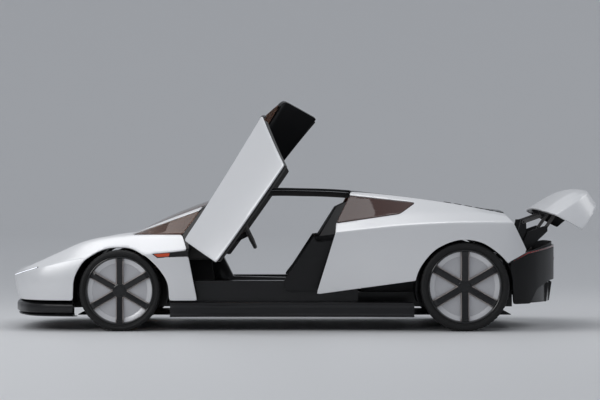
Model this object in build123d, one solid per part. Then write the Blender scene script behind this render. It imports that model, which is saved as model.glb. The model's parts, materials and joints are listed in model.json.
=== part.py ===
"""Mid-engined supercar with raised dihedral doors and a raised tail lid, in millimetres.

Frame: +X to the rear, +Y to the car's right, +Z up, the road at Z = 0. Shapes are drawn in car
coordinates and moved by ORIGIN_SHIFT on export, so that the row's box is centred on the origin.
Doors and lid are drawn closed and turned to their raised rest pose by their joint's own motion.
"""
import math
import os

from build123d import *

# ---------------------------------------------------------------- driving dimensions, mm
ORIGIN_SHIFT = -51.5  # centres the box, lid raised, on X = 0
FRONT_AXLE_X = -1449.0
REAR_AXLE_X = 1324.0
FRONT_TYRE_R, FRONT_TYRE_W, FRONT_TYRE_Y = 326.0, 255.0, 838.0  # outer radius, width, centre plane
REAR_TYRE_R, REAR_TYRE_W, REAR_TYRE_Y = 359.0, 325.0, 822.0
FRONT_RIM_R, REAR_RIM_R = 276.0, 298.0
SPOKES = 6
FRONT_LINER_ROOM, REAR_LINER_ROOM = 56.0, 29.0  # tyre to wheel-arch liner
LINER_SKIN = 4.0  # wheel-arch liner thickness
KINGPIN_Y = 760.0
SKIN = 6.0  # body panel thickness
FRAME_SKIN = 22.0  # pillar and roof frame thickness
DOOR_DEPTH = 70.0
GAP = 5.0  # shut line between panels that move apart

# door hinge: a point on the axis, the axis (car's left side) and the swing, closed to raised
DOOR_POINT = (-614.0, -480.0, 958.0)
DOOR_AXIS = (0.5694, 0.6897, 0.4473)
DOOR_SWING = -65.96
HINGE_ACROSS = (0.0789, -0.5875, 0.8054)  # square to the axis, towards the skin above the hinge
CRANK_RADII = (80.0, 96.0)  # the crank bows round the pillar outside its shut face
CRANK_ANGLES = (60.0, 152.0)  # from the frame round to the sleeve's spoke, degrees
HINGE_T = -360.0  # where the hinge sits along the axis, from DOOR_POINT

# tail lid: turned by LID_TILT about a lateral line, carried by a pair of short links
LID_TILT = -35.0
LID_CENTRE = (1790.0, 1425.0)

# body stations: x, then half width and height of each named line of the section
#   lo = lower edge, wide = widest point, crease, belt, rail, and the height of the centre line
COLUMNS = ("x", "lo_y", "wide_y", "wide_z", "crease_y", "crease_z", "belt_y", "belt_z",
           "rail_y", "rail_z", "top_z")
STATIONS = [
    (-2385, 250, 270, 360, 262, 420, 240, 432, 160, 440, 444),
    (-2350, 480, 510, 360, 498, 430, 460, 452, 300, 464, 468),
    (-2300, 640, 672, 362, 655, 446, 610, 476, 400, 490, 495),
    (-2220, 778, 806, 366, 785, 470, 715, 512, 470, 520, 522),
    (-2120, 858, 880, 375, 858, 502, 752, 558, 505, 550, 553),
    (-1970, 915, 936, 400, 915, 542, 775, 628, 530, 598, 600),
    (-1736, 952, 974, 460, 957, 588, 790, 731, 560, 665, 668),
    (-1500, 962, 987, 500, 970, 608, 794, 773, 610, 730, 730),
    (-1394, 958, 985, 500, 970, 612, 796, 777, 660, 768, 765),
    (-1200, 938, 970, 485, 963, 620, 800, 777, 660, 848, 872),
    (-820, 903, 938, 455, 943, 655, 812, 783, 600, 988, 1032),
    (-400, 896, 931, 490, 940, 707, 828, 820, 515, 1108, 1143),
    (50, 898, 938, 510, 948, 763, 842, 856, 515, 1132, 1154),
    (500, 915, 960, 560, 972, 818, 856, 900, 575, 1120, 1128),
    (767, 938, 980, 600, 983, 846, 850, 935, 595, 1094, 1088),
    (1324, 968, 1003, 680, 990, 876, 826, 958, 618, 1014, 1008),
    (1560, 955, 988, 680, 966, 878, 806, 940, 636, 966, 978),
    (1700, 920, 950, 665, 918, 874, 780, 918, 640, 940, 964),
    (1800, 860, 888, 650, 856, 864, 740, 905, 612, 936, 960),
    (1900, 760, 788, 640, 760, 846, 680, 885, 545, 922, 948),
    (1990, 620, 648, 636, 630, 820, 575, 856, 440, 892, 920),
    (2060, 462, 486, 632, 474, 796, 432, 826, 320, 856, 876),
    (2105, 300, 318, 630, 310, 776, 282, 796, 205, 814, 826),
    (2130, 130, 140, 628, 136, 760, 124, 772, 90, 780, 784),
]
FLOOR_Z = 106.0

# side views of the panels: (x, z) outlines, clockwise from the lower front
FRONT_ARCH = [(-1830, 60), (-1818, 380), (-1795, 465), (-1733, 562), (-1640, 629), (-1548, 664),
              (-1455, 671), (-1362, 664), (-1262, 616), (-1190, 560), (-1120, 482), (-1066, 385),
              (-1054, 250), (-1054, 60)]
REAR_ARCH = [(926, 60), (926, 390), (960, 500), (1040, 612), (1120, 676), (1230, 722),
             (1330, 735), (1441, 716), (1521, 676), (1600, 618), (1655, 560), (1684, 500),
             (1705, 420), (1710, 340), (1730, 60)]
DOOR_PANEL_TOP = [(-1000, 652), (-820, 661), (-600, 688), (-400, 713), (-200, 738), (50, 769),
                  (300, 798)]
QUARTER_SIDE = [(130, 293), (283, 789), (289, 868), (419, 1132), (419, 1240), (1672, 1240),
                (1672, 938), (1720, 872), (1838, 636), (1690, 560), (1500, 405), (928, 405)]
REAR_GLASS_SIDE = [(402, 1092), (940, 1034), (806, 944), (290, 868)]
FRONT_GLASS_SIDE = [(-1352, 777), (-852, 955), (-990, 776)]
LID_SIDE = [(1680, 1100), (1680, 940), (1727, 874), (1845, 642), (2112, 694), (2400, 694),
            (2400, 1100)]


# ---------------------------------------------------------------- small helpers
def row(values):
    """One station as a dict keyed by the column names."""
    return dict(zip(COLUMNS, values))


def box(x0, x1, y0, y1, z0, z1):
    """Axis-aligned block given by its limits."""
    return Pos((x0 + x1) / 2, (y0 + y1) / 2, (z0 + z1) / 2) * Box(x1 - x0, y1 - y0, z1 - z0)


def side_prism(outline, y0, y1):
    """Solid with a side-view (x, z) outline, from y0 to y1."""
    face = make_face(Polyline(*[(x, y0, z) for x, z in outline], close=True))
    return extrude(face, amount=y1 - y0, dir=(0, 1, 0))


def plan_prism(outline, z0, z1):
    """Solid with a plan (x, y) outline, from z0 to z1."""
    face = make_face(Polyline(*[(x, y, z0) for x, y in outline], close=True))
    return extrude(face, amount=z1 - z0, dir=(0, 0, 1))


def front_prism(outline, x0, x1):
    """Solid with a front-view (y, z) outline, from x0 to x1."""
    face = make_face(Polyline(*[(x0, y, z) for y, z in outline], close=True))
    return extrude(face, amount=x1 - x0, dir=(1, 0, 0))


def rod(a, b, radius):
    """Round bar between two points."""
    a, b = Vector(*a), Vector(*b)
    d = b - a
    plane = Plane(origin=a, z_dir=d)
    return plane * Pos(0, 0, d.length / 2) * Cylinder(radius, d.length)


def lathe(profile, centre, outward):
    """Turn an (axial, radius) profile about the wheel axis; axial grows towards outward * Y."""
    points = [(0, outward * a, r) for a, r in profile]
    face = make_face(Polyline(*points, close=True))
    return Pos(*centre) * revolve(face, Axis((0, 0, 0), (0, 1, 0)), 360)


def mirrored(shape):
    """The same shape on the car's right side."""
    return mirror(shape, about=Plane.XZ)


def together(shapes):
    """Several solids as one compound for a node."""
    solids = []
    for s in shapes:
        solids += list(s.solids())
    return Compound(children=solids) if len(solids) > 1 else solids[0]


# ---------------------------------------------------------------- body surface
def section(s, inset):
    """Closed section wire of one station, moved inwards by inset."""
    t = inset
    x = s["x"]
    lo, wide, cr = s["lo_y"] - t, s["wide_y"] - t, s["crease_y"] - t
    belt, rail = s["belt_y"] - 0.7 * t, s["rail_y"] - 0.4 * t
    cz, bz = s["crease_z"] - 0.25 * t, s["belt_z"] - 0.75 * t
    rz, tz = s["rail_z"] - 0.9 * t, s["top_z"] - t
    floor = FLOOR_Z - 60
    wz = s["wide_z"]

    def p(y, z):
        return (x, y, z)

    edges = [
        Line(p(-lo + 20, floor), p(lo - 20, floor)),
        Line(p(lo - 20, floor), p(lo, 240)),
        Spline(p(lo, 240), p(wide, wz), p(cr, cz)),
        Line(p(cr, cz), p(belt, bz)),
        Line(p(belt, bz), p(rail, rz)),
        Spline(p(rail, rz), p(0, tz), p(-rail, rz)),
        Line(p(-rail, rz), p(-belt, bz)),
        Line(p(-belt, bz), p(-cr, cz)),
        Spline(p(-cr, cz), p(-wide, wz), p(-lo, 240)),
        Line(p(-lo, 240), p(-lo + 20, floor)),
    ]
    return make_face(edges)


def body_volume(inset):
    """Closed volume of the whole body, inset from the outer surface."""
    stations = [row(v) for v in STATIONS]
    x0, x1 = stations[0]["x"], stations[-1]["x"]
    faces = []
    for s in stations:
        if s["lo_y"] < 6 * inset:  # the ends of a deep inset stop short of the tips
            continue
        s = dict(s)
        k = (s["x"] - x0) / (x1 - x0)
        s["x"] = s["x"] + inset * (1 - 2 * k)
        faces.append(section(s, inset))
    return loft(faces, ruled=True)


def shell(inset, outline, y0=-1200.0, y1=1200.0):
    """Skin of the body, inset thick, inside one side-view outline."""
    return (OUTER & side_prism(outline, y0, y1)) - VOLUME[inset]


def door_turn(shape, angle=DOOR_SWING):
    """Turn a left-door shape about its hinge axis; the default raises a closed door."""
    axis = Axis(DOOR_POINT, DOOR_AXIS)
    return shape.rotate(axis, angle)


def lid_turn(shape, angle=LID_TILT):
    """Turn a lid shape about the lateral line; the default raises a closed lid."""
    axis = Axis((LID_CENTRE[0], 0, LID_CENTRE[1]), (0, 1, 0))
    return shape.rotate(axis, angle)


def lid_point(x, z, angle=LID_TILT):
    """Where a lid point (x, z) drawn closed lies when raised."""
    a = math.radians(angle)
    dx, dz = x - LID_CENTRE[0], z - LID_CENTRE[1]
    return (LID_CENTRE[0] + dx * math.cos(a) + dz * math.sin(a),
            LID_CENTRE[1] - dx * math.sin(a) + dz * math.cos(a))


# ---------------------------------------------------------------- door shut line
#   distance along the hinge axis from DOOR_POINT, radius of the shut face about the axis
SPINDLE = [(-600, 8), (-520, 31), (-400, 62), (-280, 96), (-160, 131), (-80, 154), (-40, 157),
           (0, 148), (80, 128), (160, 101), (240, 73), (320, 43), (400, 12)]
DOOR_REGION_SIDE = [(-821, 242), (-891, 630), (-879, 652), (-866, 705), (-852, 772), (-762, 884),
                    (-665, 1011),
                    (-640, 1300), (412, 1300), (412, 1130), (282, 868), (276, 789), (123, 291)]
SHUT_LEAN = (12.0, 620.0, 800.0)  # the gap ahead of the door is this much wider between these heights
DOOR_REGION_PLAN = [(-1100, -1300), (-1100, -600), (-665, -596), (-650, -503), (-575, -411),
                    (-515, -357), (-465, -293), (-410, -235), (-385, -203), (-385, -145),
                    (412, -145), (412, -1300)]


def hinge_spindle(grow):
    """Body of revolution about the hinge axis that the front shut face follows."""
    points = [(0, 0, SPINDLE[0][0])] + [(r + grow, 0, t) for t, r in SPINDLE]
    points.append((0, 0, SPINDLE[-1][0]))
    face = make_face(Polyline(*points, close=True))
    return Plane(origin=DOOR_POINT, z_dir=DOOR_AXIS) * revolve(face, Axis.Z, 360)


def door_region(grow):
    """Region of the closed left door, a shut gap wider all round when grown."""
    side = side_prism(DOOR_REGION_SIDE, -1300, 0)
    plan = plan_prism(DOOR_REGION_PLAN, 100, 1400)
    region = side & plan
    if grow:
        lean, low, high = SHUT_LEAN
        region += side_prism([(x + (7 if x > 0 else -lean if low < z < high else 0), z)
                              for x, z in DOOR_REGION_SIDE], -1300, 0) & plan_prism(
            [(x + (7 if x > 0 else -2), y + (grow if y > -150 else 0))
             for x, y in DOOR_REGION_PLAN], 100, 1400)
    return region


# ---------------------------------------------------------------- fixed body
WINDSCREEN_PLAN = [(-1395, 640), (-1490, 450), (-1545, 200), (-1545, -200), (-1490, -450),
                   (-1395, -640), (-1200, -642), (-1000, -606), (-840, -562), (-720, -490),
                   (-610, -380), (-530, -270), (-470, -150), (-450, 0), (-470, 150),
                   (-530, 270), (-610, 380), (-720, 490), (-840, 562), (-1000, 606),
                   (-1200, 642)]
CLAM_SIDE = [(-2500, 246), (-826, 243), (-902, 640), (-990, 776), (-1352, 777), (-852, 955),
             (-824, 1001), (-824, 1300), (-2500, 1300)]
FRAME_SIDE = [(-905.8, 646), (-990, 776), (-852, 955), (-824, 1001), (-824, 1300), (419, 1300),
              (419, 1132), (289, 868), (283, 789), (240, 700), (-890, 646)]
HEADLAMP_SIDE = [(-2330, 452), (-2140, 492), (-2110, 530), (-2300, 478)]
MARKER_SIDE = [(-1186, 596), (-1176, 622), (-902, 645), (-900, 612)]
SPINE_Y = 140.0
PIPE_Y = 110.0
BUMPER_SIDE = [(1712, 214), (1706, 424), (1690, 548), (1838, 616), (2112, 668), (2400, 668),
               (2400, 400), (2080, 214)]


def windscreen():
    """Laminated screen between the A-pillars."""
    return (OUTER & plan_prism(WINDSCREEN_PLAN, 650, 1300)) - VOLUME[SKIN]


def front_clamshell():
    """Nose, bonnet, both front fenders and the white screen rails, one moulding."""
    shape = shell(SKIN, CLAM_SIDE)
    shape -= plan_prism(WINDSCREEN_PLAN, 650, 1300)
    shape -= side_prism(FRONT_ARCH, -1200, 1200)
    shape -= side_prism(HEADLAMP_SIDE, -1200, 1200)
    shape -= side_prism(MARKER_SIDE, -1200, 1200)
    return shape


def headlamps():
    """Slim lamp covers in the nose corners."""
    lens = shell(SKIN, HEADLAMP_SIDE)
    return lens - box(-2500, -1900, -420, 420, 300, 700)


def marker_lamps():
    """Black strip with the side marker in each fender."""
    return shell(SKIN, MARKER_SIDE)


def roof_frame():
    """A-pillars, screen header, centre spine and rear header."""
    shape = shell(FRAME_SKIN, FRAME_SIDE)
    shape -= plan_prism(WINDSCREEN_PLAN, 650, 1300)
    cut = door_region(GAP) - (hinge_spindle(-GAP / 2) & box(-1200, 500, -1200, 0, 742, 1400))
    shape -= cut
    shape -= mirrored(cut)
    return shape


def front_quarter_glass():
    """Fixed three-cornered glass ahead of each door."""
    return shell(SKIN, FRONT_GLASS_SIDE) - box(-2000, 0, -560, 560, 500, 1300)


def quarter_limit():
    """Plan area that the rear quarters cover on both sides."""
    left = [(60, -1200), (60, -545), (419, -552), (1072, -592), (1690, -628), (2100, -628),
            (2100, -1200)]
    right = [(x, -y) for x, y in left]
    return plan_prism(left, 200, 1300), plan_prism(right, 200, 1300)


def rear_quarters():
    """White panels from the door to the tail, with the arch and the window cut."""
    skin = shell(SKIN, QUARTER_SIDE) - side_prism(REAR_ARCH, -1200, 1200)
    skin -= side_prism(REAR_GLASS_SIDE, -1200, 1200)
    return [skin & limit for limit in quarter_limit()]


def rear_quarter_glass():
    """Long window in each rear quarter."""
    return shell(SKIN, REAR_GLASS_SIDE) - box(0, 1200, -560, 560, 700, 1300)


def rear_deck():
    """Black engine cover between the buttresses."""
    plan = [(419, -552), (1072, -592), (1675, -627.1), (1675, 627.1), (1072, 592), (419, 552)]
    return (OUTER & plan_prism(plan, 800, 1300)) - VOLUME[SKIN]


def splitter():
    """Front lip and the lower nose valance."""
    outline = [(-2500, 246), (-1826, 244.7), (-1826, 106), (-1950, 106), (-2500, 180)]
    return shell(40, outline) + (OUTER & side_prism(
        [(-2380, 172), (-1950, 106), (-1826, 106), (-1826, 118), (-1950, 118), (-2380, 184)],
        -1200, 1200))


def sills():
    """Side skirts between the wheels."""
    both = OUTER & box(-1046, 918, -1200, 1200, 112, 232)
    return both - box(-1200, 1200, -785, 785, 0, 400)


def rear_bumper():
    """Black tail below the lamp line with its undercut."""
    shape = shell(20, BUMPER_SIDE)
    for s in (-1, 1):
        shape -= rod((1980, s * PIPE_Y, 573), (2200, s * PIPE_Y, 513), 51)
    return shape


def tail_light():
    """Thin lamp that follows the tail's plan."""
    outline = [(1690, 548), (1838, 616), (2112, 668), (2400, 668), (2400, 686), (2112, 686),
               (1838, 636), (1690, 560)]
    return shell(20, outline)


def undertray():
    """Flat floor panel."""
    plan = [(-1826, 500), (-1826, -500), (-1056, -500), (-1056, -780), (920, -780), (920, -500),
            (1736, -500), (1736, 500), (920, 500), (920, 780), (-1056, 780), (-1056, 500)]
    return plan_prism(plan, 109, 115)


def wheel_well(end, room):
    """Round the right wheel: a cylinder `room` larger than the tyre, as wide as the liner."""
    axle_x, axle_z = WHEELS[end][:2]
    y0, y1 = LINERS[end][1:]
    return Pos(axle_x, (y0 + y1) / 2, axle_z) * Rot(90, 0, 0) * Cylinder(axle_z + room, y1 - y0)


def liner(end):
    """Half-round wheel-arch liner on both sides, clear of the tyre."""
    axle_x, axle_z = WHEELS[end][:2]
    room, y0, y1 = LINERS[end]
    ring = wheel_well(end, room + LINER_SKIN) - wheel_well(end, room)
    ring &= box(axle_x - 500, axle_x + 500, y0, y1, axle_z - 40, axle_z + 600)
    ring &= VOLUME[SKIN]
    if axle_x > 0:
        ring -= shell(20, BUMPER_SIDE)
    return [ring, mirrored(ring)]


def chassis_tub():
    """Carbon tub: floor, side boxes, bulkheads, front beam and rear frame."""
    shape = box(-1010, 470, -785, 785, 115, 145)
    for s in (-1, 1):
        y0, y1 = sorted((s * 640, s * 785))
        shape += box(-1010, 470, y0, y1, 140, 400)
    bulk = front_prism([(-785, 120), (785, 120), (785, 620), (690, 740), (-690, 740), (-785, 620)],
                       -1035, -1005)
    rear = front_prism([(-785, 120), (785, 120), (785, 720), (500, 1070), (-500, 1070),
                        (-785, 720)], 440, 470)
    window = box(400, 500, -330, 330, 760, 980)
    shape += bulk + (rear - window)
    for s in (-1, 1):
        y0, y1 = sorted((s * 230, s * 330))
        shape += box(-2000, -1030, y0, y1, 170, 470)
        y0, y1 = sorted((s * 270, s * 350))
        shape += box(465, 1760, y0, y1, 170, 290)
        shape += box(1700, 1760, y0, y1, 280, 520)
    shape += box(-2060, -1990, -560, 560, 250, 420)
    shape += box(1690, 1820, -350, 350, 500, 540)
    shape += box(1722, 1760, -1000, 1000, 500, 540) & VOLUME[20]
    for end, (room, _, _) in LINERS.items():
        well = wheel_well(end, room + LINER_SKIN + GAP)
        shape -= well + mirrored(well)
    left = lid_mounts() + hinge_mount()
    return shape + left + mirrored(left)


def hinge_frame():
    """Plane at the hinge axis with local X and Y across it and Z along it."""
    return Plane(origin=DOOR_POINT, x_dir=HINGE_ACROSS, z_dir=DOOR_AXIS)


def hinge_mount():
    """Fixed hinge pin of the left door with the two lugs that carry it."""
    plane = hinge_frame()
    pin = plane * Pos(0, 0, HINGE_T) * Cylinder(10, 96)
    lugs = plane * Pos(0, 0, HINGE_T - 36) * Cylinder(17, 24)
    lugs += plane * Pos(0, 0, HINGE_T + 36) * Cylinder(17, 24)
    low = plane.from_local_coords((0, 0, HINGE_T - 36))
    high = plane.from_local_coords((0, 0, HINGE_T + 36))
    lugs += rod(low, (-1020, -760, 690), 12)
    lugs += rod(high, (-1020, -440, 728), 12)
    return pin + lugs


def lid_mounts():
    """Left plates that carry the pivots of the lid arm and the lid link."""
    ax, az = body_pivot("arm")
    lx, lz = body_pivot("link")
    inner = side_prism([(1760, 505), (ax - 22, az + 18), (ax + 22, az + 18), (1900, 700),
                        (1820, 505)], -222, -208)
    outer = side_prism([(1770, 505), (1900, 790), (lx - 16, lz + 20), (lx + 20, lz + 20),
                        (lx + 20, lz - 22), (1880, 620), (1820, 505)], -292, -278)
    pins = rod((ax, -215, az), (ax, -239, az), 8)
    pins += rod((lx, -285, lz), (lx, -261, lz), 8)
    return inner + outer + pins


def engine_block():
    """Engine and gearbox as one plain mass on two cross mounts."""
    shape = box(520, 1080, -240, 240, 180, 660) + box(1070, 1560, -170, 170, 200, 480)
    return shape + box(600, 680, -270, 270, 200, 260)


def exhaust():
    """Silencer between the lid brackets and two tail pipes."""
    can = Pos(1868, 0, 640) * Rot(90, 0, 0) * Cylinder(75, 416)
    shape = can
    for s in (-1, 1):
        pipe = rod((1880, s * PIPE_Y, 600), (2124, s * PIPE_Y, 533.5), 46)
        pipe -= rod((1960, s * PIPE_Y, 578.2), (2150, s * PIPE_Y, 526.4), 41)
        shape += pipe
    return shape


def seats():
    """Two fixed bucket seats."""
    outline = [(-330, 200), (-310, 290), (90, 225), (285, 800), (350, 810), (385, 780),
               (220, 145), (-300, 145)]
    one = side_prism(outline, -560, -120)
    hollow = side_prism([(-400, 300), (-300, 300), (96, 232), (300, 830), (0, 900)], -520, -160)
    wings = side_prism([(-310, 290), (-250, 330), (60, 300), (230, 700), (285, 800), (90, 225)],
                       -560, -120)
    one = one + (wings - hollow)
    return [one, mirrored(one)]


def dashboard():
    """Dash beam, console and steering column."""
    outline = [(-950, 520), (-960, 700), (-780, 735), (-660, 690), (-640, 600), (-700, 540)]
    shape = side_prism(outline, -640, 640)
    shape += box(-700, 200, -80, 80, 145, 420)
    shape += side_prism([(-700, 420), (-560, 420), (-640, 620), (-760, 620)], -80, 80)
    shape += rod((-683.3, -380, 659.6), (-438.6, -380, 773.66), 22)
    return shape


def steering_wheel():
    """Flat-bottomed rim with a hub and three spokes."""
    ring = Torus(158, 14) + Cylinder(42, 30)
    for a in (0, 180, 270):
        ring += Rot(0, 0, a) * box(30, 156, -16, 16, -8, 8)
    return Pos(-425, -380, 780) * Rot(0, 65, 0) * ring


def arms(axle_x, axle_z, y_in, y_out, spread, dz):
    """Upper and lower wishbones of one left wheel, ending in kingpin eyes."""
    shapes = []
    for z_in, z_out in ((axle_z - dz + 15, axle_z - dz), (axle_z + dz - 20, axle_z + dz)):
        eye = Pos(axle_x, -y_out, z_out) * (Cylinder(26, 24) - Cylinder(10.1, 24))
        legs = rod((axle_x + spread, -y_in, z_in), (axle_x + 14, -y_out + 14, z_out), 11)
        legs += rod((axle_x - spread, -y_in, z_in), (axle_x - 14, -y_out + 14, z_out), 11)
        legs -= Pos(axle_x, -y_out, z_out) * Cylinder(18, 60)
        shapes.append(eye + legs)
    return shapes


def front_suspension():
    """Both front wishbone pairs."""
    left = [s - box(-2200, 2200, -330, 0, 0, 800)
            for s in arms(FRONT_AXLE_X, FRONT_TYRE_R, 320, KINGPIN_Y, 150, 140)]
    return left + [mirrored(s) for s in left]


def rear_suspension():
    """Rear wishbones, uprights and stub axles, both sides."""
    out = []
    y_up = 690
    left = arms(REAR_AXLE_X, REAR_TYRE_R, 340, y_up, 170, 150)
    whole = (left[0] + left[1]) - box(-2200, 2200, -350, 0, 0, 800)
    whole += Pos(REAR_AXLE_X, -y_up, REAR_TYRE_R) * Box(90, 44, 250)
    whole += Pos(REAR_AXLE_X, -y_up, REAR_TYRE_R) * Cylinder(10.1, 324)
    whole += rod((REAR_AXLE_X, -y_up, REAR_TYRE_R), (REAR_AXLE_X, -872, REAR_TYRE_R), 24.9)
    whole += caliper_sector("rear", [(-154, 30), (-154, 150), (-44, 150), (-44, 122), (-112, 110),
                                     (-112, 30)])
    return [whole, mirrored(whole)]


def knuckle():
    """Left steered upright with its kingpin and stub axle."""
    x, z = FRONT_AXLE_X, FRONT_TYRE_R
    shape = Pos(x, -KINGPIN_Y, z) * Box(90, 44, 226)
    shape += Pos(x, -KINGPIN_Y, z) * Cylinder(10, 304)
    shape += rod((x, -KINGPIN_Y, z), (x, -868, z), 24.9)
    shape += caliper_sector("front", [(-98, 30), (-98, 150), (-44, 150), (-44, 122), (-58, 110),
                                      (-58, 30)])
    return shape


# ---------------------------------------------------------------- wheels
#   name: axle x, tyre radius, width, centre y, rim radius
WHEELS = {
    "front": (FRONT_AXLE_X, FRONT_TYRE_R, FRONT_TYRE_W, FRONT_TYRE_Y, FRONT_RIM_R),
    "rear": (REAR_AXLE_X, REAR_TYRE_R, REAR_TYRE_W, REAR_TYRE_Y, REAR_RIM_R),
}
# room round the tyre and outer and inner edge of each wheel-arch liner
LINERS = {"front": (FRONT_LINER_ROOM, -950, -545), "rear": (REAR_LINER_ROOM, -960, -560)}


def wheel_centre(end):
    """Left wheel centre of one axle."""
    x, r, w, y, rim = WHEELS[end]
    return (x, -y, r)


def tyre(end):
    """Left tyre, a hollow ring open to the rim."""
    x, r, w, y, rim = WHEELS[end]
    h = w / 2
    outer = [(-h + 12, rim), (-h, rim + 18), (-h, r - 24), (-h + 8, r - 8), (-h + 22, r - 1),
             (-h + 50, r), (h - 50, r), (h - 22, r - 1), (h - 8, r - 8), (h, r - 24),
             (h, rim + 18), (h - 12, rim)]
    inner = [(h - 26, rim), (h - 16, rim + 20), (h - 20, r - 22), (h - 44, r - 14),
             (-h + 44, r - 14), (-h + 20, r - 22), (-h + 16, rim + 20), (-h + 26, rim)]
    return lathe(outer + inner, wheel_centre(end), -1)


def rim(end):
    """Left wheel barrel, hub and brake disc, all turning together."""
    x, r, w, y, rr = WHEELS[end]
    h = w / 2
    barrel = [(-h + 8, rr), (-h + 8, rr - 16), (h - 8, rr - 16), (h - 8, rr), (h - 14, rr),
              (h - 14, rr - 10), (-h + 14, rr - 10), (-h + 14, rr)]
    face = h - 60
    disc = [(-16, 25), (-16, 200), (16, 200), (16, 60), (face, 60), (face, 25)]
    c = wheel_centre(end)
    web = [(face - 8, 58), (face - 8, rr - 14), (face, rr - 14), (face, 58)]
    return lathe(barrel, c, -1) + lathe(web, c, -1) + lathe(disc, c, -1)


def star(end):
    """Left six-spoke face."""
    x, r, w, y, rr = WHEELS[end]
    h = w / 2
    face = h - 60
    half = 28 if end == "front" else 32
    hub = lathe([(face, 0), (face, 56), (h - 22, 56), (h - 22, 0)], (0, 0, 0), -1)
    shape = hub
    for i in range(SPOKES):
        y0, y1 = -(h - 14), -face
        spoke = box(-half, half, y0, y1, 30, rr - 18)
        shape += Rot(0, i * 360 / SPOKES, 0) * spoke
    ring = lathe([(face, rr - 30), (face, rr - 16), (h - 10, rr - 16), (h - 10, rr - 24)],
                 (0, 0, 0), -1)
    return Pos(*wheel_centre(end)) * (shape + ring)


def caliper_sector(end, profile):
    """Left-wheel sector of an (axial, radius) profile over the caliper's angle."""
    face = make_face(Polyline(*[(0, -a, r) for a, r in profile], close=True))
    body = revolve(face, Axis((0, 0, 0), (0, 1, 0)), 52)
    start = 50 if end == "front" else -102
    return Pos(*wheel_centre(end)) * (Rot(0, start, 0) * body)


def caliper(end):
    """Left brake caliper that straddles the disc."""
    return caliper_sector(end, [(-44, 120), (-44, 228), (40, 228), (40, 120), (22, 120),
                                (22, 208), (-22, 208), (-22, 120)])


# ---------------------------------------------------------------- doors, drawn closed on the left
DOOR_SPLIT = [(-905, 637), (-894, 643), (-820, 657), (-600, 684), (-400, 709), (-200, 734),
              (50, 765), (277, 790), (300, 792)]
DOOR_WINDOW_SIDE = [(-760, 715), (-735, 775), (-672, 848), (-560, 985), (-420, 1066), (330, 1090),
                    (372, 1060), (255, 860), (245, 815), (50, 792), (-200, 762), (-400, 736),
                    (-600, 710)]


def door_panel():
    """White lower door with its inner box."""
    below = side_prism(DOOR_SPLIT + [(300, 100), (-905, 100)], -1200, 0)
    shape = ((OUTER & (door_region(0) & below)) - VOLUME[DOOR_DEPTH])
    return shape - hinge_spindle(GAP / 2)


def door_frame():
    """Black upper door: window surround and the roof half up to the spine."""
    above = side_prism([(x, z + 1) for x, z in DOOR_SPLIT] + [(500, 792), (500, 1400), (-905, 1400)],
                       -1200, 0)
    shape = (OUTER & (door_region(0) & above)) - VOLUME[FRAME_SKIN]
    hole = side_prism(DOOR_WINDOW_SIDE, -1200, -SPINE_Y)
    roof_part = box(-700, 700, -520, 0, 1000, 1300)
    shape = shape - (hole - roof_part)
    return (shape - hinge_spindle(GAP / 2)) + hinge_arm(shape)


def hinge_arm(frame):
    """Left door's hinge sleeve and the crank that joins it to the door frame."""
    plane = hinge_frame()
    r0, r1 = CRANK_RADII
    a0, a1 = (math.radians(a) for a in CRANK_ANGLES)
    am = (a0 + a1) / 2

    def at(r, a):
        return (r * math.cos(a), r * math.sin(a))

    bow = make_face([ThreePointArc(at(r0, a0), at(r0, am), at(r0, a1)), Line(at(r0, a1), at(r1, a1)),
                     ThreePointArc(at(r1, a1), at(r1, am), at(r1, a0)), Line(at(r1, a0), at(r0, a0))])
    spoke = Rot(0, 0, CRANK_ANGLES[1]) * Pos((r1 + 12) / 2, -8) * Rectangle(r1 - 12, 16)
    arm = plane * Pos(0, 0, HINGE_T - 15) * extrude(bow, amount=30, dir=(0, 0, 1))
    arm += plane * Pos(0, 0, HINGE_T - 15) * extrude(spoke, amount=30, dir=(0, 0, 1))
    arm += plane * Pos(0, 0, HINGE_T) * Cylinder(18, 30)
    arm -= plane * Pos(0, 0, HINGE_T) * Cylinder(10.1, 60)
    return arm & VOLUME[4]


def door_glass():
    """Side window of the door."""
    glass = shell(SKIN, DOOR_WINDOW_SIDE, -1200, -SPINE_Y)
    glass = glass - box(-700, 700, -520, 0, 1000, 1300)
    return glass - hinge_spindle(GAP / 2 + 14)


# ---------------------------------------------------------------- tail lid and its links
PIN_R, BORE_R = 8.0, 8.1
LID_PINS = {"arm": (1700.0, 880.0), "link": (1840.0, 850.0)}  # on the lid, drawn closed
ARM_REACH, LINK_REACH = 560.0, 660.0  # lid centre to the body pivots


def body_pivot(name):
    """Body pivot that is as far from the raised pin as from the closed one."""
    x, z = LID_PINS[name]
    reach = ARM_REACH if name == "arm" else LINK_REACH
    ax, az = lid_point(x, z, LID_TILT / 2)
    dx, dz = ax - LID_CENTRE[0], az - LID_CENTRE[1]
    n = math.hypot(dx, dz)
    return LID_CENTRE[0] + dx / n * reach, LID_CENTRE[1] + dz / n * reach


def tail_lid():
    """Raised tail with its two pin brackets."""
    shape = shell(SKIN, LID_SIDE)
    shape &= plan_prism([(1680, -636), (1727, -1000), (2500, -1000), (2500, 1000), (1727, 1000),
                         (1680, 636)], 500, 1300)
    bracket = side_prism([(1682, 870), (1690, 960), (1900, 960), (1900, 920), (1858, 834),
                          (1826, 830), (1760, 890), (1718, 862), (1690, 860)], -256, -244)
    x, z = LID_PINS["arm"]
    bracket -= rod((x, -270, z), (x, -230, z), BORE_R)
    bracket &= VOLUME[4]
    return lid_turn(shape + bracket + mirrored(bracket))


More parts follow.
